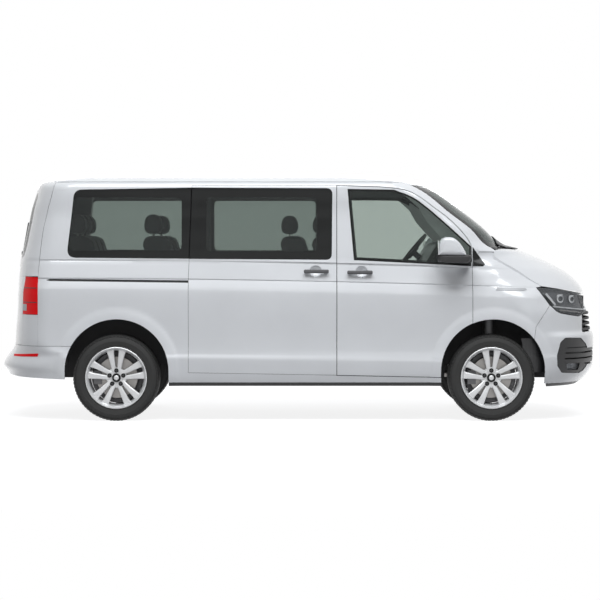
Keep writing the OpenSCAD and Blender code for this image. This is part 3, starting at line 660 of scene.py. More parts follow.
# Height of the bonnet or roof over a place in plan.
def topZ(x, y, low=0.95):
    high = levels[-1][0]
    bottom = low
    for _ in range(22):
        middle = (bottom + high) / 2
        front, rear, side, frontLength, rearLength = levelAt(middle)
        inside = body["tail"] + rear < x < body["nose"] - front and abs(y) < sideY(x, middle, True)
        if inside:
            bottom = middle
        else:
            high = middle
    return bottom


# Heights of a patch's rows as functions of x, close together along the pressed lines.
def rowLines(z0, z1, spacing):
    lines = [lambda x: z0]
    for follow, steps in ((creaseAt, (-0.045, -0.032, -0.024, -0.016, -0.008, 0.0, 0.008)),
                          (shoulderAt,
                           (-0.1, -0.084, -0.08, -0.06, -0.04, -0.02, -0.004, 0.0, 0.002, 0.004, 0.006, 0.016,
                                        0.03, 0.141, 0.147, 0.153))):
        if z0 < follow(0) - 0.15 and follow(0) + 0.08 < z1:
            lines += [lambda x, follow=follow, s=s: follow(x) + s for s in steps]
    lines.append(lambda x: z1)
    rows = []
    for one, two in zip(lines, lines[1:]):
        count = max(1, math.ceil((two(0) - one(0)) / spacing))
        rows += [(one, two, k / count) for k in range(count)]
    return rows + [(lines[-1], lines[-1], 0)]


def sidePatch(name, x0, x1, z0, z1, columns, spacing, depth=0.0):
    rows = rowLines(z0, z1, spacing)

    def place(u, v):
        x = x0 + (x1 - x0) * u
        one, two, share = rows[round(v * (len(rows) - 1))]
        z = one(x) + (two(x) - one(x)) * share
        return (x, depth - sideY(x, z), z)
    return sheetFrom(name, columns, len(rows) - 1, place)


def nosePatch(name, z0, z1, columns, rows, reach=1.0, depth=0.0, rear=False):
    def place(u, v):
        return endPoint((2 * u - 1) * reach, z0 + (z1 - z0) * v, rear, depth)
    return sheetFrom(name, columns, rows, place)


def tailPatch(*sizes):
    return nosePatch(*sizes, rear=True)


def topPatch(name, x0, x1, y1, columns, rows):
    def place(u, v):
        x = x0 + (x1 - x0) * u
        y = y1 * (2 * v - 1)
        return (x, y, topZ(x, y))
    return sheetFrom(name, columns, rows, place)


gap = body["gap"]
walls = {"door": 0.055, "side": 0.06, "skin": 0.02, "gate": 0.05, "lip": 0.03, "pane": 0.005}


def archOutline(cx, extra=0.0):
    r = body["archRadius"] + extra
    return [(cx - r, 0.0)] + circle(cx, body["archHeight"], r, 180, 0, 40) + [(cx + r, 0.0)]


doorTop = 1.884
doorTopLine = curveThrough([(0.649, 1.873), (0.841, 1.851), (0.964, 1.797), (1.072, 1.718), (1.211, 1.613),
                            (1.335, 1.484), (1.383, 1.405)], 4)


# Where the sliding door's rear edge lies. Above the belt it leans forward with the window line.
def doorSplit(z):
    return -0.881 + 0.005 * ease((z - 1.14) / 0.14) + 0.036 * max(0.0, z - 1.285)


frontDoorOutline = [(0.306, 0.366), (0.306, doorTop)] + doorTopLine + [(1.391, 1.235), (1.391, 0.34), (1.1, 0.35)]
slidingDoorOutline = [(doorSplit(z), z) for z in (0.386, 1.14, 1.285, doorTop)] + [(0.306, doorTop), (0.306, 0.366)]
rearHole = rounded([(-1.856, 1.305), (-1.796, 1.85), (-0.8, 1.867), (-0.8, 1.296)], [0.07, 0.07, 0, 0])
middleHole = rounded([(-0.92, 1.296), (-0.92, 1.867), (0.272, 1.862), (0.266, 1.288)], [0, 0, 0.05, 0.05])
rearWindow = rounded([(-1.856, 1.305), (-1.796, 1.85), (doorSplit(1.86) - 0.003, 1.866),
                      (doorSplit(1.3) - 0.003, 1.297)],
                     [0.07, 0.07, 0.004, 0.004])
middleWindow = rounded([(doorSplit(1.3) + 0.003, 1.297), (doorSplit(1.86) + 0.003, 1.866), (0.272, 1.862),
                        (0.266, 1.288)],
                       [0.004, 0.004, 0.05, 0.05])
doorWindow = ([(0.443, 1.285), (0.392, 1.856)] + curveThrough(
    [(0.765, 1.85), (0.912, 1.792), (1.019, 1.718), (1.102, 1.649), (1.211, 1.553), (1.381, 1.398)], 4)
    + [(1.383, 1.237), (1.273, 1.243)])
tailLine = [(-2.081, 1.153), (-2.077, 1.244), (-2.065, 1.385), (-2.045, 1.548), (-2.004, 1.72), (-1.961, 1.882),
            (-1.95, 1.915), (-2.05, 1.97), (-2.05, 2.2)]
wingOutline = [(1.391, 0.5), (1.391, 1.235), (1.446, 1.35), (1.561, 1.35), (1.623, 1.274), (1.761, 1.192),
               (1.898, 1.11), (1.949, 1.073), (1.905, 1.066), (2.012, 0.924), (1.895, 0.755), (1.86, 0.5)]
intakeOutline = rounded([(2.142, 0.664), (2.282, 0.658), (2.33, 0.61), (2.35, 0.572), (2.6, 0.572), (2.6, 0.438),
                         (2.35, 0.438), (2.315, 0.393), (2.277, 0.371), (2.11, 0.381), (2.072, 0.44), (2.068, 0.52),
                         (2.1, 0.63)], [0.03, 0.03, 0.02, 0, 0, 0, 0, 0.02, 0.03, 0.03, 0.03, 0.03, 0.03])
grilleFront = [(-0.64, 0.7), (-0.59, 0.868), (-0.452, 0.876), (-0.432, 1.008), (0.432, 1.008), (0.452, 0.876),
               (0.59, 0.868), (0.64, 0.7)]


# Plan of the bonnet: its rear edge is bowed forward in the middle.
def bonnetPlan(side):
    return ([(2.5, side)] + [(1.843 - 0.281 * abs(t) ** 2.2, t * side) for t in [1 - k / 16 for k in range(33)]]
            + [(2.5, -side)])


# A panel of the right side: a draped sheet with a wall, cut to its outline and with its holes.
def sidePanel(name, patchBox, outline, wall, columns, spacing=0.022, holes=(), keys=("paint", "trim")):
    x0, x1, z0, z1 = patchBox
    obj = sidePatch(name, x0, x1, z0, z1, columns, spacing)
    walled(obj, wall, *keys)
    keepIn(obj, outline, "Y", *nearSide)
    for hole in holes:
        takeOut(obj, hole, "Y", *farIn)
    return smooth(obj)


root = "chassis"


# A round finger dish pressed into a door behind its handle, coloured pale grey as painted shade.
def bowlCut(obj, x, z, radius):
    bpy.ops.object.select_all(action="DESELECT")
    reach = 0.6 * radius
    bpy.ops.mesh.primitive_uv_sphere_add(segments=48, ring_count=24, radius=math.hypot(radius, reach),
                                         location=(x, -sideY(x, z) - reach, z))
    dish = freeze(bpy.context.active_object)
    for face in dish.data.polygons:
        face.material_index = 2
    # The dish faces take the pale grey finish as painted shade in the body-coloured recess.
    obj.data.materials.append(mats["pale"])
    return smooth(cut(obj, dish, "DIFFERENCE", "EXACT"))


# A door handle: a rounded bar on two feet.
def handleBar(name, x0, x1, z):
    y = -sideY((x0 + x1) / 2, z)
    bar = paintAs(block(name, (x0, y - 0.04, z - 0.015), (x1, y - 0.02, z + 0.015), 0.0095, 4), "grey")
    feet = [paintAs(block("foot", (a, y - 0.03, z - 0.011), (a + 0.03, y + 0.01, z + 0.011), 0.008, 3), "grey")
            for a in (x0 + 0.006, x1 - 0.036)]
    return join(name, [bar] + feet)


def makeDoors():
    wall = walls["door"]
    door = sidePanel("right_door_shell", (0.28, 1.42, 0.33, 1.9), inset(frontDoorOutline, gap / 2), wall, 96, 0.022,
                     (doorWindow, archOutline(frontArch, 0.002)))
    left = mirrored(door, "left_door_shell")
    finish(left, "left_door", "white_paint", "left_door")
    bowlCut(door, 0.505, 1.2, 0.049)
    finish(door, "right_door", "white_paint", "right_door")
    slide = sidePanel("sliding_door_shell", (-0.91, 0.33, 0.36, 1.9), inset(slidingDoorOutline, gap / 2), wall,
                      96, 0.022,
                      (middleHole,))
    bowlCut(slide, 0.138, 1.204, 0.049)
    finish(slide, root, "white_paint", "sliding_door")
    bar = handleBar("right_door_handle", 0.389, 0.592, 1.188)
    finish(mirrored(bar, "left_door_handle"), "left_door", "grey_plastic")
    finish(bar, "right_door", "grey_plastic")
    finish(handleBar("sliding_door_handle", 0.043, 0.242, 1.196), root, "grey_plastic")
    print("doors done")


def makeSides():
    top = 1.915
    outline = ([(-2.083, 0.6), (-2.083, 1.15)] + tailLine[1:6] + [(-1.95, top), (2.0, top), (2.0, 1.352),
               (1.446, 1.352), (1.393, 1.237), (1.393, 0.7), (1.14, 0.309), (-1.8, 0.309), (-1.8, 0.6)])
    windscreen = [(-0.77, 1.36), (-0.775, 1.684), (-0.742, 1.884), (-0.742, 2.2), (0.742, 2.2), (0.742, 1.884),
                  (0.775, 1.684), (0.77, 1.36)]
    rail = [(-2.016, 1.126), (-1.985, 1.137), (-0.87, 1.124), (-0.87, 1.105), (-1.985, 1.119)]
    for name, node, holes in (("right_side", "right_side_panel", (slidingDoorOutline, rearHole, rail)),
                              ("left_side", "left_side_panel", (middleWindow, rearWindow))):
        panel = sidePanel(name, (-2.2, 1.62, 0.3, top + 0.001), outline, walls["side"], 290, 0.024,
                          holes + (inset(frontDoorOutline, -gap / 2), archOutline(frontArch), archOutline(rearArch)))
        takeOut(panel, windscreen, "X", 0.0, 3.0)
        smooth(panel)
        sill = sidePatch("sill", -1.1, 1.2, 0.28, 0.311, 60, 0.02, 0.006)
        walled(sill, walls["lip"], "black", "black")
        for arch in (frontArch, rearArch):
            takeOut(sill, archOutline(arch), "Y", *farIn)
        corner = sidePatch("corner", 1.3, 1.52, 1.2, 1.42, 24, 0.02, -0.0015)
        walled(corner, 0.004, "gloss", "gloss")
        keepIn(corner, [(1.3945, 1.392), (1.3945, 1.236), (1.47, 1.229), (1.494, 1.252)], "Y", *nearSide)
        panel = join(name, [panel, sill, smooth(corner)])
        if node == "left_side_panel":
            flipped(panel)
        finish(panel, root, "white_paint", node)
    channel = sidePatch("sliding_rail", -2.05, -0.86, 1.09, 1.15, 60, 0.02, 0.014)
    finish(walled(channel, 0.02, "black", "black"), root, "black_plastic")
    print("sides done")


def makeTop():
    roof = topPatch("roof_skin", -2.08, 1.12, 0.86, 130, 110)
    walled(roof, walls["skin"], "paint", "lining")
    keep = [(x + gap / 2, z) for x, z in tailLine[4:]] + [(1.2, 2.2), (1.2, 1.8)]
    keepIn(roof, keep)
    lower = 1.9145
    keepIn(roof, [(-1.0, lower), (-0.744, lower), (-0.741, 1.8865), (0.741, 1.8865), (0.744, lower), (1.0, lower),
                  (1.0, 2.2), (-1.0, 2.2)], "X", -3.0, 3.0)
    smooth(roof, 40)
    finish(roof, root, "white_paint", "roof")
    caps = []
    for x, y in ((-1.31, -0.62), (-1.31, 0.62), (0.19, -0.62), (0.19, 0.62)):
        cap = lathe("cap", [(0.0, 0.002), (0.012, 0.002), (0.017, 0.0), (0.017, -0.004), (0.0, -0.004)], 32)
        cap.data.transform(Matrix.Translation((x, y, topZ(x, y))) @ Matrix.Rotation(halfPi, 4, "X"))
        caps.append(paintAs(cap, "paint"))
    finish(join("roof_rack_caps", caps), root, "white_paint", "roof_rack_points")
    bonnet = topPatch("bonnet_skin", 1.5, 2.42, 0.86, 120, 120)
    walled(bonnet, walls["skin"], "paint", "black")
    keepIn(bonnet, bonnetPlan(0.825 - gap / 2), "Z", *overBonnet)
    keepIn(bonnet, [(1.4, 1.2), (1.949, 1.077), (2.31, 1.022), (2.6, 1.014), (2.6, 1.5), (1.4, 1.5)])
    smooth(bonnet, 40)
    finish(bonnet, "bonnet", "white_paint", "bonnet")
    wing = sidePanel("right_wing", (1.36, 2.06, 0.6, 1.38), inset(wingOutline, 0.001), 0.02, 90, 0.02,
                     (archOutline(frontArch),), ("paint", "black"))
    takeOut(wing, bonnetPlan(0.8255), "Z", *overBonnet)
    smooth(wing)
    strip = sidePatch("strip", 1.55, 1.85, 1.02, 1.09, 40, 0.012, -0.004)
    walled(strip, 0.005, "pale", "black")
    keepIn(strip, rounded([(1.574, 1.046), (1.584, 1.07), (1.812, 1.064), (1.829, 1.052), (1.8, 1.042)], 0.006),
           "Y", *nearSide)
    wing = join("right_wing", [wing, smooth(strip)])
    finish(join("wing_skins", [wing, mirrored(wing, "left_wing")]), root, "white_paint", "wings")
    print("roof, bonnet and wings done")


def makeFront():
    shape = [(1.8615, 0.2), (1.8615, 0.5), (1.8965, 0.754), (2.0135, 0.923), (2.064, 0.877), (2.103, 0.856),
             (2.266, 0.827), (2.306, 0.838), (2.361, 0.869), (2.325, 1.01), (2.6, 1.01), (2.6, 0.298), (2.2, 0.298)]
    bumper = nosePatch("front_bumper_skin", 0.27, 1.012, 200, 84)
    walled(bumper, walls["skin"], "paint", "black")
    keepIn(bumper, shape[:-2] + [(2.6, 0.299), (1.862, 0.299)])
    takeOut(bumper, grilleFront, "X", *noseEnd)
    takeOut(bumper, archOutline(frontArch))
    for low, high in bumperSides:
        takeOut(bumper, intakeOutline, low=low, high=high)
    opening = [(-0.64, 0.438), (-0.64, 0.572), (0.64, 0.572), (0.64, 0.438)]
    takeOut(bumper, opening, "X", *noseEnd)
    smooth(bumper)
    lip = nosePatch("lip", 0.272, 0.301, 120, 4, 0.98, 0.01)
    walled(lip, walls["lip"], "black", "black")
    keepIn(lip, [(1.985, 0.1), (1.985, 0.4), (2.6, 0.4), (2.6, 0.1)])
    finish(join("front_bumper_skin", [bumper, lip]), root, "white_paint", "front_bumper")

    surround = nosePatch("intake_surrounds", 0.36, 0.68, 200, 60, 1.0, 0.004)
    walled(surround, 0.015, "black", "black")
    keepIn(surround, inset(intakeOutline, 0.002))
    window = rounded([(2.132, 0.455), (2.15, 0.583), (2.7, 0.583), (2.7, 0.43), (2.36, 0.43), (2.3, 0.455)], 0.012)
    fogHole = rounded([(2.151, 0.458), (2.274, 0.452), (2.258, 0.397), (2.16, 0.404)], 0.008)
    for low, high in bumperSides:
        takeOut(surround, window, low=low, high=high)
        takeOut(surround, fogHole, low=low, high=high)
    takeOut(surround, [(-0.6, 0.3), (-0.6, 0.7), (0.6, 0.7), (0.6, 0.3)], "X", *noseEnd)
    back = nosePatch("intake_back", 0.39, 0.66, 90, 20, 0.8, 0.06)
    paintAs(back, "black")
    pieces = [smooth(surround), back]
    for low, high in ((0.545, 0.578), (0.5, 0.532), (0.452, 0.488)):
        bar = nosePatch("bar", low, high, 150, 4, 0.78, 0.006)
        walled(bar, 0.03, "black", "black")
        keepIn(bar, [(2.135, 0.3), (2.135, 0.7), (2.6, 0.7), (2.6, 0.3)])
        shaped(bar, "BEVEL", width=0.006, segments=2)
        pieces.append(smooth(bar))
    finish(join("front_intakes", pieces), root, "black_plastic")

    fog = nosePatch("fog_lamps", 0.39, 0.465, 160, 12, 0.95, 0.01)
    walled(fog, 0.004, "lens", "lens")
    keepIn(fog, inset(fogHole, 0.001))
    dish = nosePatch("fog_dish", 0.39, 0.465, 160, 12, 0.95, 0.03)
    walled(dish, 0.004, "pale")
    keepIn(dish, inset(fogHole, 0.001))
    finish(join("fog_lamps", [fog, dish]), root, "lamp_clear")

    rear = tailPatch("rear_bumper_skin", 0.33, 0.598, 210, 40)
    walled(rear, walls["skin"], "paint", "black")
    tail = [(-2.6, 0.372), (-2.6, 0.597), (-1.8, 0.597), (-1.8, 0.332), (-2.26, 0.345)]
    keepIn(rear, tail)
    takeOut(rear, archOutline(rearArch))
    finish(smooth(rear), root, "white_paint", "rear_bumper")
    reflector = tailPatch("rear_reflectors", 0.505, 0.545, 160, 6, 0.86, -0.002)
    walled(reflector, 0.006, "red", "black")
    keepIn(reflector, [(-2.31, 0.508), (-2.31, 0.524), (-2.088, 0.538), (-2.082, 0.534), (-2.09, 0.514)])
    finish(smooth(reflector), root, "lamp_red")
    print("bumpers done")


def makeTailgate():
    skin = tailPatch("tailgate_skin", 0.602, 1.975, 150, 110, 0.95)
    walled(skin, walls["gate"], "paint", "trim")
    upper = [(x - gap / 2, z) for x, z in tailLine]
    keepIn(skin, [(-2.084, 0.602)] + upper + [(-2.7, 2.2), (-2.7, 0.602)])
    for side in (-1, 1):
        lamp = [(side * 0.745, 0.5), (side * 0.745, 1.156), (side * 1.2, 1.156), (side * 1.2, 0.5)]
        takeOut(skin, lamp, "X", *tailEnd)
    window = rounded([(-0.64, 1.3), (-0.58, 1.83), (0.58, 1.83), (0.64, 1.3)], 0.07)
    takeOut(skin, window, "X", *tailEnd)
    finish(smooth(skin), "tailgate", "white_paint", "tailgate")

    corners = tailPatch("rear_corners", 0.6, 0.85, 150, 24, 0.95)
    walled(corners, 0.03, "paint", "trim")
    keepIn(corners, [(-2.6, 0.6), (-2.6, 0.848), (-2.0838, 0.848), (-2.0838, 0.6)])
    takeOut(corners, [(-0.749, 0.5), (-0.749, 1.2), (0.749, 1.2), (0.749, 0.5)], "X", *tailEnd)
    finish(smooth(corners), root, "white_paint")

    lamps = []
    zone = rounded([(-2.6, 0.851), (-2.6, 1.15), (-2.0845, 1.15), (-2.0845, 0.851)], [0, 0, 0.012, 0.012])
    middle = [(-0.749, 0.5), (-0.749, 1.3), (0.749, 1.3), (0.749, 0.5)]
    bright = [(-2.236, 0.88), (-2.236, 0.932), (-2.184, 0.932), (-2.184, 0.88)]
    for key, depth, shape, wall in (("red", 0.0, zone, 0.012), ("black", 0.02, zone, 0.01),
                                    ("pale", -0.0012, bright, 0.002)):
        part = tailPatch("lamp", 0.84, 1.16, 150, 30, 0.95, depth)
        walled(part, wall, key, key)
        keepIn(part, shape)
        takeOut(part, middle, "X", *tailEnd)
        lamps.append(smooth(part))
    for z in (0.945, 1.06):
        rib = tailPatch("rib", z, z + 0.006, 150, 2, 0.95, -0.0015)
        walled(rib, 0.003, "black", "black")
        keepIn(rib, inset(zone, 0.008))
        takeOut(rib, inset(middle, -0.01), "X", *tailEnd)
        lamps.append(rib)
    finish(join("tail_lamp_lenses", lamps), root, "lamp_red", "tail_lamps")

    x = endPoint(0, 1.1, True).x
    plate = paintAs(block("blank_plate", (x - 0.004, -0.26, 0.9), (x + 0.002, 0.26, 1.01), 0.002), "lining")
    frameBar = paintAs(block("plate_frame", (x - 0.001, -0.3, 0.885), (x + 0.003, 0.3, 1.075), 0.002), "black")
    grip = paintAs(block("tailgate_grip", (x - 0.004, -0.2, 1.05), (x + 0.008, 0.2, 1.085), 0.006, 3), "chrome")
    finish(join("tailgate_plate", [frameBar, plate, grip]), "tailgate", "black_plastic")
    stop = paintAs(tailPatch("stop", 1.852, 1.872, 40, 4, 0.22, -0.003), "red", "black")
    finish(smooth(thicken(stop, 0.006, 1)), "tailgate", "lamp_red")
    arm = [tuple(endPoint(0.02 + 0.006 * k, 1.335 + 0.001 * k * k, True, -0.022)) for k in range(17)]
    wiper = [paintAs(tube("rear_wiper", arm, 0.006), "black")]
    blade = [tuple(endPoint(-0.13 + 0.017 * k, 1.345 + 0.0006 * k * k, True, -0.012)) for k in range(17)]
    wiper.append(paintAs(tube("blade", blade, 0.005), "rubber"))
    pivot = lathe("pivot", [(0.0, 0.03), (0.016, 0.03), (0.02, 0.02), (0.02, -0.03), (0.0, -0.03)], 32)
    pivot.data.transform(Matrix.Translation(endPoint(0.02, 1.335, True, -0.004)) @ Matrix.Rotation(halfPi, 4, "Z"))
    wiper.append(paintAs(pivot, "black"))
    finish(join("rear_wiper", wiper), "tailgate", "black_plastic")
    print("tailgate done")


# Glass flush in its hole: a gloss black border round a clear middle.
def pane(name, border, axis, outline, clearOutline, limits, tint):
    walled(border, walls["pane"], "gloss")
    keepIn(border, inset(outline, 0.001), axis, *limits)
    middle = copyOf(border, "middle")
    paintAs(middle, tint)
    keepIn(middle, clearOutline, axis, *limits)
    takeOut(border, clearOutline, axis, *limits)
    return smooth(join(name, [border, middle]))


def makeGlass():
    depth = 0.002
    rearClear = rounded([(-1.838, 1.362), (-1.796, 1.788), (-0.936, 1.788), (-0.936, 1.362)], 0.04)
    middleClear = rounded([(-0.738, 1.356), (-0.738, 1.788), (0.15, 1.788), (0.15, 1.356)], 0.04)
    doorClear = inset(doorWindow, 0.014)

    def sheetFor(outline, columns, rows):
        xs = [p[0] for p in outline]
        zs = [p[1] for p in outline]
        return sidePatch("pane", min(xs) - 0.02, max(xs) + 0.02, min(zs) - 0.02, max(zs) + 0.02, columns,
                         0.6 / rows, depth)
    rearPane = pane("rear_pane", sheetFor(rearWindow, 50, 40), "Y", rearWindow, rearClear, throughPane, "tinted")
    slidePane = pane("sliding_door_pane", sheetFor(middleWindow, 60, 40), "Y", middleWindow, middleClear,
                     throughPane, "tinted")
    doorPane = pane("right_door_pane", sheetFor(doorWindow, 60, 50), "Y", doorWindow, doorClear, throughPane, "clear")
    leftRear = mirrored(rearPane, "left_rear_pane")
    leftMiddle = mirrored(slidePane, "left_middle_pane")
    leftDoor = mirrored(doorPane, "left_door_pane")
    finish(join("side_panes", [rearPane, leftRear, leftMiddle]), root, "tinted_glass", "side_glass")
    finish(slidePane, root, "tinted_glass", "sliding_door_glass")
    finish(doorPane, "right_door", "clear_glass", "right_door_glass")
    finish(leftDoor, "left_door", "clear_glass", "left_door_glass")
    screen = nosePatch("windscreen_pane", 1.372, 1.89, 110, 60, 0.82, depth)
    outline = [(-0.768, 1.385), (-0.773, 1.684), (-0.741, 1.882), (0.741, 1.882), (0.773, 1.684), (0.768, 1.385)]
    screenClear = rounded([(-0.715, 1.425), (-0.722, 1.684), (-0.695, 1.835), (0.695, 1.835), (0.722, 1.684),
                           (0.715, 1.425)],
                          [0.05, 0, 0.05, 0.05, 0, 0.05])
    screen = pane("windscreen_pane", screen, "X", outline, screenClear, (0.5, 3.0), "clear")
    finish(screen, root, "clear_glass", "windscreen")
    back = tailPatch("tailgate_pane", 1.28, 1.85, 110, 50, 0.82, depth)
    window = rounded([(-0.638, 1.302), (-0.578, 1.828), (0.578, 1.828), (0.638, 1.302)], 0.07)
    backClear = rounded([(-0.59, 1.35), (-0.535, 1.78), (0.535, 1.78), (0.59, 1.35)], 0.05)
    finish(pane("tailgate_pane", back, "X", window, backClear, tailEnd, "tinted"), "tailgate",
           "tinted_glass", "tailgate_glass")
    print("glass done")


wheel = {
    "radius": 0.345, "halfWidth": 0.1275, "rim": 0.246, "hub": 0.08, "spokes": 5,
    "spokeHub": 0.0175, "spokeRim": 0.0305, "faceHub": 0.088, "faceRim": 0.106, "centreY": 0.8145,
}


def tyreMesh():
    r, w, rim = wheel["radius"], wheel["halfWidth"], wheel["rim"]
    side = [(rim - 0.01, w - 0.016), (rim - 0.002, w - 0.006), (rim + 0.006, w - 0.003), (rim + 0.01, w - 0.006),
            (rim + 0.016, w - 0.004), (rim + 0.03, w - 0.0005), (rim + 0.046, w), (rim + 0.0475, w + 0.0006),
            (rim + 0.049, w), (rim + 0.064, w - 0.003), (rim + 0.074, w - 0.008), (rim + 0.084, w - 0.015),
            (rim + 0.092, w - 0.024), (r - 0.003, w - 0.034)]
    tread = []
    for centre in (0.075, 0.028, -0.028, -0.075):
        tread += [(r, centre + 0.006), (r - 0.007, centre + 0.0045), (r - 0.007, centre - 0.0045),
                  (r, centre - 0.006)]
    other = [(a, -b) for a, b in reversed(side)]
    profile = side + tread + other + [(rim - 0.012, -0.09), (rim - 0.012, 0.09)]
    obj = lathe("tyre", profile, 128, True)
    return paintAs(obj, "rubber")


# Shoulder lugs, repeated round the tyre on both edges of the tread.
def treadBlocks():
    r, w = wheel["radius"], wheel["halfWidth"]
    work = bmesh.new()
    count = 72
    for k in range(count):
        for side in (-1, 1):
            turn = Matrix.Rotation(2 * math.pi * (k + (0.5 if side > 0 else 0)) / count, 4, "Y")
            corners = []
            for lift, a, b in ((0.0, 0.084, 0.098), (-0.0105, 0.11, 0.122)):
                for along in (-0.0105, 0.0105):
                    corners.append(turn @ Vector((along, side * (w - 0.0345 + (a - 0.084)), r + lift + 0.0012)))
            verts = [work.verts.new(c) for c in corners]
            inner = [work.verts.new(turn @ (turn.inverted() @ c.co - Vector((0, 0, 0.008)))) for c in verts]
            a, b, c, d = verts
            e, f, g, h = inner
            for face in ((a, b, d, c), (e, g, h, f), (a, c, g, e), (b, f, h, d), (a, e, f, b), (c, d, h, g)):
                work.faces.new(face)
    return paintAs(fromWork("lugs", work), "rubber")


# One spoke, lofted from the hub to the rim. lateral is which side of its bolt it lies on.
def spokeMesh(angle, lateral):
    work = bmesh.new()
    rings = []
    for k in range(9):
        t = k / 8
        radius = 0.05 + (0.226 - 0.05) * t
        middle = lateral * (0.0195 + (0.051 - 0.0195) * t ** 1.15)
        half = wheel["spokeHub"] + (wheel["spokeRim"] - wheel["spokeHub"]) * t ** 1.5
        half += 0.006 * ease((t - 0.85) / 0.15)
        face = wheel["faceHub"] + (wheel["faceRim"] - wheel["faceHub"]) * ease(t * 1.1)
        face += 0.004 * math.sin(math.pi * t)
        section = [(-half, face - 0.012), (-half + 0.003, face - 0.003), (-half + 0.009, face), (half - 0.009, face),
                   (half - 0.003, face - 0.003), (half, face - 0.012), (half - 0.006, face - 0.042),
                   (-half + 0.006, face - 0.042)]
        rings.append([work.verts.new((middle + a, b, radius)) for a, b in section])
    for one, two in zip(rings, rings[1:]):
        for i in range(8):
            work.faces.new((one[i], one[(i + 1) % 8], two[(i + 1) % 8], two[i]))
    work.faces.new(rings[0][::-1])
    work.faces.new(rings[-1])
    obj = fromWork("spoke", work)
    obj.data.transform(Matrix.Rotation(math.radians(angle), 4, "Y"))
    return obj


def rimMesh():
    rim, w = wheel["rim"], wheel["halfWidth"]
    barrel = [(rim, w - 0.014), (rim, w - 0.003), (rim - 0.003, w - 0.001), (rim - 0.008, w - 0.001),
              (rim - 0.011, w - 0.006),
              (rim - 0.016, w - 0.012), (rim - 0.024, w - 0.022), (rim - 0.028, w - 0.04), (rim - 0.034, 0.02),
              (rim - 0.03, -0.08), (rim - 0.018, -w + 0.014), (rim - 0.004, -w + 0.002), (rim, -w + 0.004),
              (rim, -w + 0.014),
              (rim - 0.014, -w + 0.018), (rim - 0.02, -0.05), (rim - 0.02, 0.07), (rim - 0.012, w - 0.018)]
    pieces = [lathe("barrel", barrel, 128, True)]
    face = wheel["faceHub"]
    hub = [(0.0, face - 0.004), (0.026, face - 0.004), (0.028, face + 0.001), (0.031, face + 0.001),
           (0.033, face - 0.006),
           (0.04, face - 0.006), (0.078, face - 0.003), (0.083, face - 0.009), (0.083, face - 0.045),
           (0.0, face - 0.045)]
    pieces.append(lathe("hub", hub, 96))
    for k in range(wheel["spokes"]):
        for lateral in (-1, 1):
            pieces.append(spokeMesh(k * 360 / wheel["spokes"], lateral))
    for piece in pieces:
        paintAs(piece, "alloy")
    for k in range(wheel["spokes"]):
        turn = Matrix.Rotation(2 * math.pi * k / wheel["spokes"], 4, "Y")
        ring = lathe("seat", [(0.0, face - 0.0045), (0.0135, face - 0.0045), (0.0155, face - 0.0015),
                              (0.0175, face - 0.002),
                              (0.0175, face - 0.01), (0.0, face - 0.01)], 24)
        head = lathe("bolt", [(0.0, face + 0.003), (0.0085, face + 0.003), (0.0105, face + 0.001),
                              (0.0105, face - 0.008),
                              (0.0, face - 0.008)], 6)
        paintAs(ring, "gloss")
        paintAs(head, "black")
        for piece in (ring, head):
            piece.data.transform(turn @ Matrix.Translation((0, 0.0065, 0.058)))
            pieces.append(piece)
    for key, profile in (("gloss", [(0.0, face + 0.007), (0.032, face + 0.007), (0.035, face + 0.003),
                                    (0.035, face - 0.006), (0.0, face - 0.006)]),
                         ("alloy", [(0.0, face + 0.01), (0.014, face + 0.01), (0.019, face + 0.007),
                                    (0.0, face + 0.005)])):
        pieces.append(paintAs(lathe("cap", profile, 64), key))
    valve = lathe("valve", [(0.0, face + 0.012), (0.004, face + 0.012), (0.004, face - 0.02), (0.0, face - 0.02)], 12)
    valve.data.transform(Matrix.Translation((0, 0, -0.203)))
    paintAs(valve, "black")
    pieces.append(valve)
    disc = lathe("disc", [(0.07, 0.028), (0.165, 0.028), (0.165, 0.02), (0.158, 0.018), (0.158, 0.014),
                          (0.165, 0.012),
                          (0.165, 0.004), (0.07, 0.004)], 96, True)
    bell = lathe("bell", [(0.0, 0.05), (0.07, 0.05), (0.076, 0.044), (0.076, 0.006), (0.0, 0.006)], 64)
    for piece in (disc, bell):
        paintAs(piece, "steel")
        pieces.append(piece)
    return join("rim", pieces)


wheelPlaces = [(end, x, side, sign) for end, x in (("front", body["frontAxle"]), ("rear", body["rearAxle"]))
               for side, sign in (("right", -1), ("left", 1))]


# Splash plates behind the brake discs, and the dark plates that close the arches low down.
def makeShields():
    for end, x, side, sign in wheelPlaces:
        plate = lathe(f"brake_shield_{end}_{side}", [(0.045, -0.01), (0.19, -0.01), (0.204, -0.002), (0.206, -0.004),
                                                     (0.192, -0.014), (0.045, -0.014)], 72, True)
        if sign < 0:
            flipped(plate)
        plate.data.transform(Matrix.Translation((x, sign * wheel["centreY"], wheel["radius"])))
        paintAs(plate, "cast")
        finish(plate, f"{side}_knuckle" if end == "front" else root, "cast_metal")
    plateWall = 0.004
    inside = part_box("chassis_rails")[1][1] + plateWall
    plates = []
    for x in (frontArch, rearArch):
        for a, b in ((x - 0.52, x - 0.36), (x + 0.36, x + 0.52)):
            for sign in (-1, 1):
                y = sorted((sign * inside, sign * (inside + plateWall)))
                plates.append(paintAs(block("plate", (a, y[0], 0.322), (b, y[1], 0.56), 0.0015, 1), "under"))
    finish(join("arch_closing_plates", plates), root, "underbody")
    print("shields done")


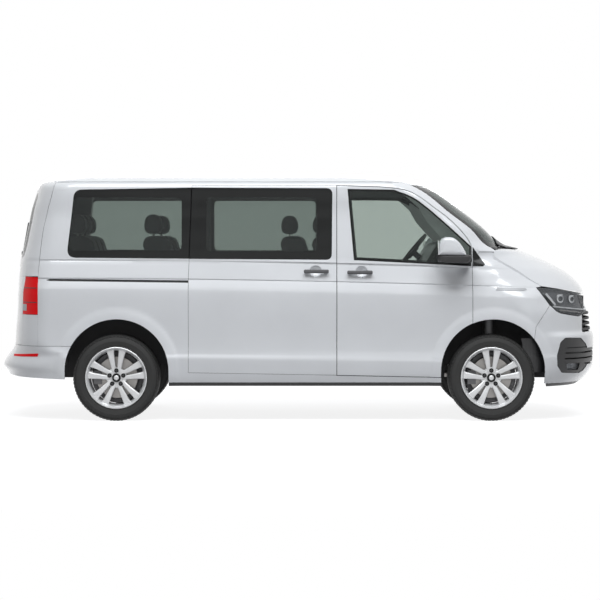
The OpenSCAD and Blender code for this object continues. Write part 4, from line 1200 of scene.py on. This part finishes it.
def makeWheels():
    rim = rimMesh()
    tyre = join("tyre", [tyreMesh(), treadBlocks()])
    for end, x, side, sign in wheelPlaces:
        where = Matrix.Translation((x, sign * wheel["centreY"], wheel["radius"]))
        for base, kind, slot in ((rim, "rim", "alloy"), (tyre, "tyre", "tyre_rubber")):
            piece = copyOf(base, f"{kind}_{end}_{side}_detail")
            if sign < 0:
                flipped(piece)
            piece.data.transform(where)
            finish(piece, f"wheel_{end}_{side}", slot, f"{kind}_{end}_{side}")
    bpy.data.objects.remove(rim)
    bpy.data.objects.remove(tyre)
    print("wheels done")


studio = {
    "camera": (0.012, -18.95, 1.45), "aim": (0.012, -0.93, 0.968), "lens": 135.5, "sensor": 36,
    "floor": 80, "glow": 0.86, "sky": 0.145, "lampColour": (0.962, 0.982, 1.0),
    # place, aim, size and power
    "lights": {"key": ((0.6, -6.6, 11.6), (0, -0.6, 1), (13, 6), 1540.0),
               "fill": ((-1.0, 11.0, 4.5), (0, 0, 1), (8, 4), 480.0),
               "front": ((2.0, -11.0, 2.6), (0, 0, 1), (9, 3), 35.0)},
}


def makeStage():
    bpy.ops.object.select_all(action="DESELECT")
    bpy.ops.mesh.primitive_plane_add(size=studio["floor"])
    floor = bpy.context.active_object
    floor.name = "floor"
    s = Shader("studioFloor")
    place = s.node("SeparateXYZ", out="X", Vector=s.place), s.node("SeparateXYZ", out="Y", Vector=s.place)
    away = s.ramp((place[0] * place[0] + place[1] * place[1]) * 0.005, [(0.03, 0.0), (0.25, 1.0)])
    tone = s.mix(s.noise(30.0), (0.36, 0.36, 0.37), (0.4, 0.4, 0.41))
    lit = s.node("BsdfDiffuse", Color=tone)
    near = s.node("Emission", Color=(1, 1, 1), Strength=studio["glow"])
    white = s.node("Emission", Color=(1, 1, 1), Strength=1.0)
    both = s.tree.nodes.new("ShaderNodeAddShader")
    s.tree.links.new(near.socket, both.inputs[0])
    s.tree.links.new(lit.socket, both.inputs[1])
    floor.data.materials.append(s.close(s.blend(s.straightRays(), lit,
                                                s.blend(away, Sock(s.tree, both.outputs[0]), white))))

    world = bpy.data.worlds.new("studioSky")
    bpy.context.scene.world = world
    sky = Shader("studioSky", world)
    soft = sky.node("Background", Color=(0.96, 0.98, 1.0), Strength=studio["sky"])
    white = sky.node("Background", Color=(1, 1, 1), Strength=1.0)
    sky.close(sky.blend(sky.straightRays(), soft, white), "World")

    for name, (place, aim, size, power) in studio["lights"].items():
        lamp = bpy.data.lights.new(name, "AREA")
        lamp.shape = "RECTANGLE"
        lamp.size, lamp.size_y = size
        lamp.energy = power
        lamp.color = studio["lampColour"]
        obj = linked(name, lamp)
        obj.location = place
        obj.rotation_euler = (Vector(aim) - Vector(place)).to_track_quat("-Z", "Y").to_euler()

    eye = bpy.data.cameras.new("camera")
    eye.lens = studio["lens"]
    eye.sensor_width = studio["sensor"]
    obj = linked("camera", eye)
    obj.location = studio["camera"]
    obj.rotation_euler = (Vector(studio["aim"]) - Vector(studio["camera"])).to_track_quat("-Z", "Y").to_euler()
    bpy.context.scene.camera = obj
    bpy.context.scene.view_settings.view_transform = "Standard"
    print("stage done")


# The outline of a line of even width, for lamp graphics and rubber edges.
def strip(name, points, width):
    left, right = [], []
    for k, p in enumerate(points):
        a, b = points[max(0, k - 1)], points[min(len(points) - 1, k + 1)]
        dx, dz = b[0] - a[0], b[1] - a[1]
        size = math.hypot(dx, dz) or 1.0
        left.append((p[0] - dz / size * width / 2, p[1] + dx / size * width / 2))
        right.append((p[0] + dz / size * width / 2, p[1] - dx / size * width / 2))
    return left + right[::-1]


lamp = {
    "top": [(1.935, 1.053), (2.084, 1.047), (2.308, 1.004)],
    "blade": [(1.986, 1.016), (2.066, 0.923)], "lowBlade": [(2.04, 0.914), (2.345, 0.878)],
    "tray": [(2.1, 0.884), (2.3, 0.858)],
    "projectors": ((2.109, 0.971, 0.03), (2.214, 0.965, 0.027)),
}


def lampPart(name, outline, key, depth, wall):
    part = nosePatch(name, 0.8, 1.1, 150, 44, 1.0, depth)
    walled(part, wall, key, key)
    keepIn(part, outline)
    takeOut(part, [(-0.452, 0.5), (-0.44, 1.2), (0.44, 1.2), (0.452, 0.5)], "X", *noseEnd)
    return smooth(part)


def makeHeadlamps():
    edge = [(1.909, 1.065), (2.084, 1.057), (2.308, 1.015), (2.6, 1.01), (2.6, 0.872), (2.361, 0.872), (2.306, 0.841),
            (2.266, 0.83), (2.103, 0.859), (2.064, 0.881), (2.014, 0.926)]
    cover = lampPart("headlamp_covers", inset(edge, 0.0015), "lens", 0.001, 0.003)
    finish(cover, root, "lamp_clear", "headlamps")
    inner = [lampPart("housing", inset(edge, 0.002), "grey", 0.034, 0.004)]
    rim = lampPart("rim", inset(edge, 0.001), "gloss", 0.0045, 0.03)
    takeOut(rim, inset(edge, 0.01))
    inner.append(smooth(rim))
    for name, width, key, depth in (("top", 0.013, "chrome", 0.012), ("blade", 0.017, "alloy", 0.014),
                                    ("lowBlade", 0.01, "alloy", 0.012), ("tray", 0.009, "steel", 0.014)):
        inner.append(lampPart(name, strip(name, lamp[name], width), key, depth, 0.016))
    for x, z, r in lamp["projectors"]:
        ring = lampPart("ring", circle(x, z, r, 0, 342, 19), "chrome", 0.016, 0.02)
        takeOut(ring, circle(x + 0.004, z + 0.002, r * 0.72, 0, 342, 19))
        inner.append(ring)
        inner.append(lampPart("eye", circle(x + 0.004, z + 0.002, r * 0.66, 0, 342, 19), "lens", 0.02, 0.006))
        inner.append(lampPart("hood",
                              [(x - 1.2 * r, z + 0.6 * r), (x - 0.7 * r, z + 1.25 * r), (x + 0.9 * r, z + 1.25 * r),
                                       (x + 0.6 * r, z + 0.85 * r), (x - 0.5 * r, z + 0.8 * r)], "chrome",
                                       0.013, 0.02))
    finish(join("headlamp_housings", inner), root, "trim_plastic")
    print("headlamps done")


# Slats across the opening between the lamps, before a dark screen.
def makeGrille():
    pieces = []
    for z, tall in ((0.722, 0.02), (0.764, 0.018), (0.806, 0.018), (0.848, 0.018), (0.894, 0.014),
                    (0.934, 0.014), (0.976, 0.014)):
        slat = nosePatch("slat", z - tall / 2, z + tall / 2, 120, 4, 0.78, 0.005 if z < 0.86 else 0.026)
        walled(slat, 0.035, "under", "under")
        shaped(slat, "BEVEL", width=0.004, segments=2)
        keepIn(slat, inset(grilleFront, 0.003), "X", *noseEnd)
        pieces.append(smooth(slat))
    screen = nosePatch("screen", 0.695, 1.006, 120, 30, 0.78, 0.055)
    walled(screen, 0.006, "under", "under")
    keepIn(screen, inset(grilleFront, 0.003), "X", *noseEnd)
    pieces.append(smooth(screen))
    for k in range(-3, 4):
        web = block("web", (2.1, k * 0.12 - 0.003, 0.705), (2.345, k * 0.12 + 0.003, 0.99), 0.001, 1)
        pieces.append(paintAs(web, "under"))
    finish(join("grille_slats", pieces), root, "black_plastic", "grille")
    print("grille done")


mirror = {
    "cap": [(1.106, 1.336), (1.112, 1.4), (1.13, 1.45), (1.156, 1.468), (1.206, 1.469), (1.24, 1.456),
            (1.276, 1.424), (1.307, 1.381), (1.33, 1.33), (1.318, 1.322), (1.12, 1.326)],
    "base": [(1.1, 1.33), (1.104, 1.286), (1.126, 1.272), (1.25, 1.266), (1.33, 1.264), (1.366, 1.29),
             (1.372, 1.318), (1.33, 1.332)],
    "inner": -0.985, "outer": -1.134,
}


# A rounded shell: the outline is carried outwards and drawn in at both ends.
def shellFrom(name, outline, inner, outer, key):
    cx = sum(p[0] for p in outline) / len(outline)
    cz = sum(p[1] for p in outline) / len(outline)
    ring = curveThrough(outline + [outline[0]], 4)[:-1]
    verts, faces = [], []
    stages = [(0.0, 0.72), (0.02, 0.86), (0.08, 0.96), (0.2, 1.0), (0.6, 1.0), (0.78, 0.97), (0.9, 0.9),
              (0.97, 0.78), (1.0, 0.6)]
    for along, size in stages:
        y = inner + (outer - inner) * along
        verts += [(cx + (x - cx) * size, y, cz + (z - cz) * size) for x, z in ring]
    n = len(ring)
    for k in range(len(stages) - 1):
        faces += [(k * n + i, k * n + (i + 1) % n, (k + 1) * n + (i + 1) % n, (k + 1) * n + i) for i in range(n)]
    faces += [tuple(range(n)), tuple(range(len(verts) - 1, len(verts) - 1 - n, -1))]
    obj = refacing(fromMesh(name, verts, faces))
    return smooth(paintAs(obj, key), 50)


def makeMirrors():
    cap = shellFrom("right_mirror_cap", mirror["cap"], mirror["inner"], mirror["outer"], "paint")
    base = shellFrom("base", mirror["base"], mirror["inner"] - 0.004, mirror["outer"] + 0.012, "black")
    arm = paintAs(block("arm", (1.29, -1.01, 1.262), (1.378, -0.905, 1.312), 0.014, 3), "black")
    glass = paintAs(block("mirror_glass", (1.104, -1.115, 1.33), (1.11, -1.0, 1.445), 0.002, 2), "chrome")
    right = join("right_mirror_shell", [cap, base, arm, glass])
    finish(mirrored(right, "left_mirror_shell"), "left_door", "white_paint", "left_mirror")
    finish(right, "right_door", "white_paint", "right_mirror")
    print("mirrors done")


seat = {
    "cushion": [(0.145, 0.85), (0.58, 0.868), (0.606, 0.905), (0.606, 0.955), (0.565, 0.982), (0.33, 0.942),
                (0.262, 0.992), (0.15, 0.96)],
    "back": [(0.1, 0.9), (0.255, 0.985), (0.108, 1.46), (0.07, 1.49), (-0.06, 1.484), (-0.078, 1.445),
             (-0.058, 1.395)],
    "head": [(-0.062, 1.5), (-0.074, 1.56), (-0.066, 1.622), (-0.034, 1.654), (0.032, 1.654), (0.066, 1.62),
             (0.072, 1.55), (0.056, 1.5)],
    "voxel": 0.011, "frames": 20,
    "pressure": 4.0, "halfWidth": 0.24, "swell": 0.018, "headSwell": 0.01,
}
seatPlaces = (("front_seats", ((-0.075, 0.43), (0.19, -0.43)), 1.0),
              ("second_row_seats", ((-1.182, 0.5), (-1.182, -0.5)), 1.0),
              ("third_row_seats", ((-1.81, -0.418), (-1.81, 0.0), (-1.81, 0.418)), 0.87))


# A pad: the block is remeshed and blown up like a filled cover, then held to its room.
def puffed(name, outline, half, cap):
    pad = prism(outline, "Y", -half, half)
    pad.name = name
    for kind, settings in (("BEVEL", {"width": 0.024, "segments": 3, "angle_limit": 0.5}),
                           ("REMESH", {"voxel_size": seat["voxel"]}),
                           ("SMOOTH", {"iterations": 6})):
        made = pad.modifiers.new(kind.lower(), kind)
        for key, value in settings.items():
            setattr(made, key, value)
    applyModifiers(pad)
    start = [v.co.copy() for v in pad.data.vertices]
    cloth = pad.modifiers.new("cover", "CLOTH")
    cloth.settings.use_pressure = True
    cloth.settings.uniform_pressure_force = seat["pressure"]
    cloth.settings.effector_weights.gravity = 0.0
    cloth.point_cache.frame_start = 1
    cloth.point_cache.frame_end = seat["frames"]
    for frameNumber in range(1, seat["frames"] + 1):
        bpy.context.scene.frame_set(frameNumber)
    applyModifiers(pad)
    bpy.context.scene.frame_set(1)
    for vertex, was in zip(pad.data.vertices, start):
        moved = vertex.co - was
        if moved.length > cap:
            vertex.co = was + moved * (cap / moved.length)
    pick(pad)
    bpy.ops.object.shade_smooth()
    return paintAs(pad, "cloth")


def makeSeats():
    halfWidth = seat["halfWidth"]
    pads = {"cushion": puffed("cushion", seat["cushion"], halfWidth - 0.024, seat["swell"]),
            "back": puffed("back", seat["back"], halfWidth - 0.028, seat["swell"]),
            "head": puffed("head", seat["head"], halfWidth / 2 - 0.01, seat["headSwell"])}
    posts = join("posts", [tube("post", [(0.0, y, 1.45), (0.0, y, 1.54)], 0.006) for y in (-0.055, 0.055)])
    shell = [paintAs(posts, "steel")]
    shell.append(paintAs(block("frame", (0.205, -0.17, 0.575), (0.555, 0.17, 0.835), 0.02, 3), "trim"))
    shell.append(paintAs(block("pan", (0.15, -0.205, 0.826), (0.59, 0.205, 0.852), 0.01, 2), "trim"))
    for side in (-1, 1):
        shell.append(paintAs(block("slide", (0.195, side * 0.15 - 0.018, 0.562),
                                   (0.565, side * 0.15 + 0.018, 0.582), 0.004, 2), "steel"))
        shell.append(paintAs(block("hinge", (0.11, side * 0.212 - 0.012, 0.85),
                                   (0.19, side * 0.212 + 0.012, 0.93), 0.01, 3), "trim"))
    shell = join("frame", shell)
    for node, places, wide in seatPlaces:
        for count, (x, y) in enumerate(places, 1):
            for kind, base in list(pads.items()) + [("frame", shell)]:
                piece = copyOf(base, f"{node}_{count}_{kind}")
                piece.data.transform(Matrix.Translation((x, y, 0)) @ Matrix.Diagonal((1, wide, 1, 1)))
                finish(piece, root, "trim_plastic" if kind == "frame" else "seat_cloth", node)
                kind != "frame"
    for base in list(pads.values()) + [shell]:
        bpy.data.objects.remove(base)
    print("seats done")


steering = {"column": (0.972, 0.42, 1.35), "tilt": 129.2, "radius": 0.175, "grip": 0.0145}


def makeCabin():
    turn = (Matrix.Translation(steering["column"]) @ Matrix.Rotation(math.radians(steering["tilt"]), 4, "Y")
            @ Matrix.Rotation(halfPi, 4, "X"))
    ring = lathe("steering_rim", [(steering["radius"] + a, b) for a,
                                  b in circle(0, 0, steering["grip"], 0, 337.5, 15)], 96, True)
    paintAs(ring, "trim")
    pad = paintAs(lathe("pad", [(0.0, 0.0), (0.04, 0.0), (0.058, 0.006), (0.061, 0.028), (0.0, 0.028)], 48), "trim")
    pieces = [ring, pad]
    for angle in (0, 180, 270):
        spoke = paintAs(block("spoke", (0.045, 0.006, -0.016), (0.168, 0.014, 0.016), 0.003, 2), "grey")
        spoke.data.transform(Matrix.Rotation(math.radians(angle), 4, "Y"))
        pieces.append(spoke)
    wheelPiece = join("steering_wheel_rim", pieces)
    wheelPiece.data.transform(turn)
    finish(wheelPiece, "steering_wheel", "trim_plastic", "steering_wheel")

    trims = []
    # The pillar trims' finish carries painted light: a pale base and a faint glow.
    for name, outline, key, depth in (
            ("pillar", [(0.87, 1.79), (0.965, 1.705), (1.025, 1.6), (1.125, 1.487), (1.235, 1.37), (1.25, 1.33),
                        (1.395, 1.33), (1.395, 1.42), (1.23, 1.605), (1.09, 1.73), (0.96, 1.815), (0.8, 1.835)],
             "shade", 0.064),
            ("header", [(0.3, 1.792), (0.7, 1.791), (0.87, 1.788), (0.965, 1.745), (0.98, 1.9), (0.3, 1.9)],
             "grey", 0.066),
            ("post", [(0.3, 1.25), (0.474, 1.25), (0.424, 1.8), (0.418, 1.9), (0.3, 1.9)], "trim", 0.068),
            ("post", [(-0.925, 1.25), (-0.925, 1.868), (-0.765, 1.868), (-0.765, 1.25)], "trim", 0.06),
            ("post", [(0.262, 1.25), (0.262, 1.868), (0.36, 1.868), (0.39, 1.25)], "trim", 0.062)):
        part = sidePatch(name, min(p[0] for p in outline) - 0.02, max(p[0] for p in outline) + 0.02, 1.22, 1.89,
                         24, 0.03, depth)
        walled(part, 0.006, key, key)
        keepIn(part, outline, "Y", -1.4, -0.4)
        trims.append(smooth(part))
    trims = join("cabin_pillar_trims", trims)
    finish(join("cabin_pillar_trims", [trims, mirrored(trims, "left_trims")]), root, "trim_plastic")

    arms = []
    for start, end in ((-0.46, -0.06), (0.1, 0.5)):
        line = [tuple(endPoint(start + (end - start) * k / 12, 1.388 + 0.05 * k / 12, False,
                               -0.008)) for k in range(13)]
        arms.append(paintAs(tube("arm", line, 0.005), "black"))
    leaf = topPatch("cowl_leaf", 1.56, 1.86, 0.78, 40, 60)
    leaf.data.transform(Matrix.Translation((0, 0, 0.012)))
    walled(leaf, 0.006, "black", "black")
    edge = [(x - 0.012, y) for x, y in bonnetPlan(0.78)[1:-1] if abs(y) < 0.6]
    keepIn(leaf, edge + [(1.61, -0.6), (1.61, 0.6)], "Z", *overBonnet)
    finish(join("wiper_arms", arms + [smooth(leaf)]), root, "black_plastic")
    print("cabin done")


# The construction that stays as it is gets its own finishes.
def dressFrame():
    finishes = {
        "floor_pan": "under", "wheelhouses": "under", "chassis_rails": "under", "roof_rack_points": "black",
        "firewall": "under", "cowl": "black",
        "dashboard": "trim",
        "engine_block": "cast", "front_subframe": "under", "rear_axle": "cast", "fuel_tank": "black",
        "exhaust": "steel", "right_knuckle": "cast", "left_knuckle": "cast",
    }
    for name, key in finishes.items():
        paintAs(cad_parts[name], key)
    print("frame dressed")


makeStage()
dressFrame()
makeDoors()
makeSides()
makeTop()
makeFront()
makeTailgate()
makeGlass()
makeWheels()
makeShields()
makeHeadlamps()
makeGrille()
makeMirrors()
makeSeats()
makeCabin()
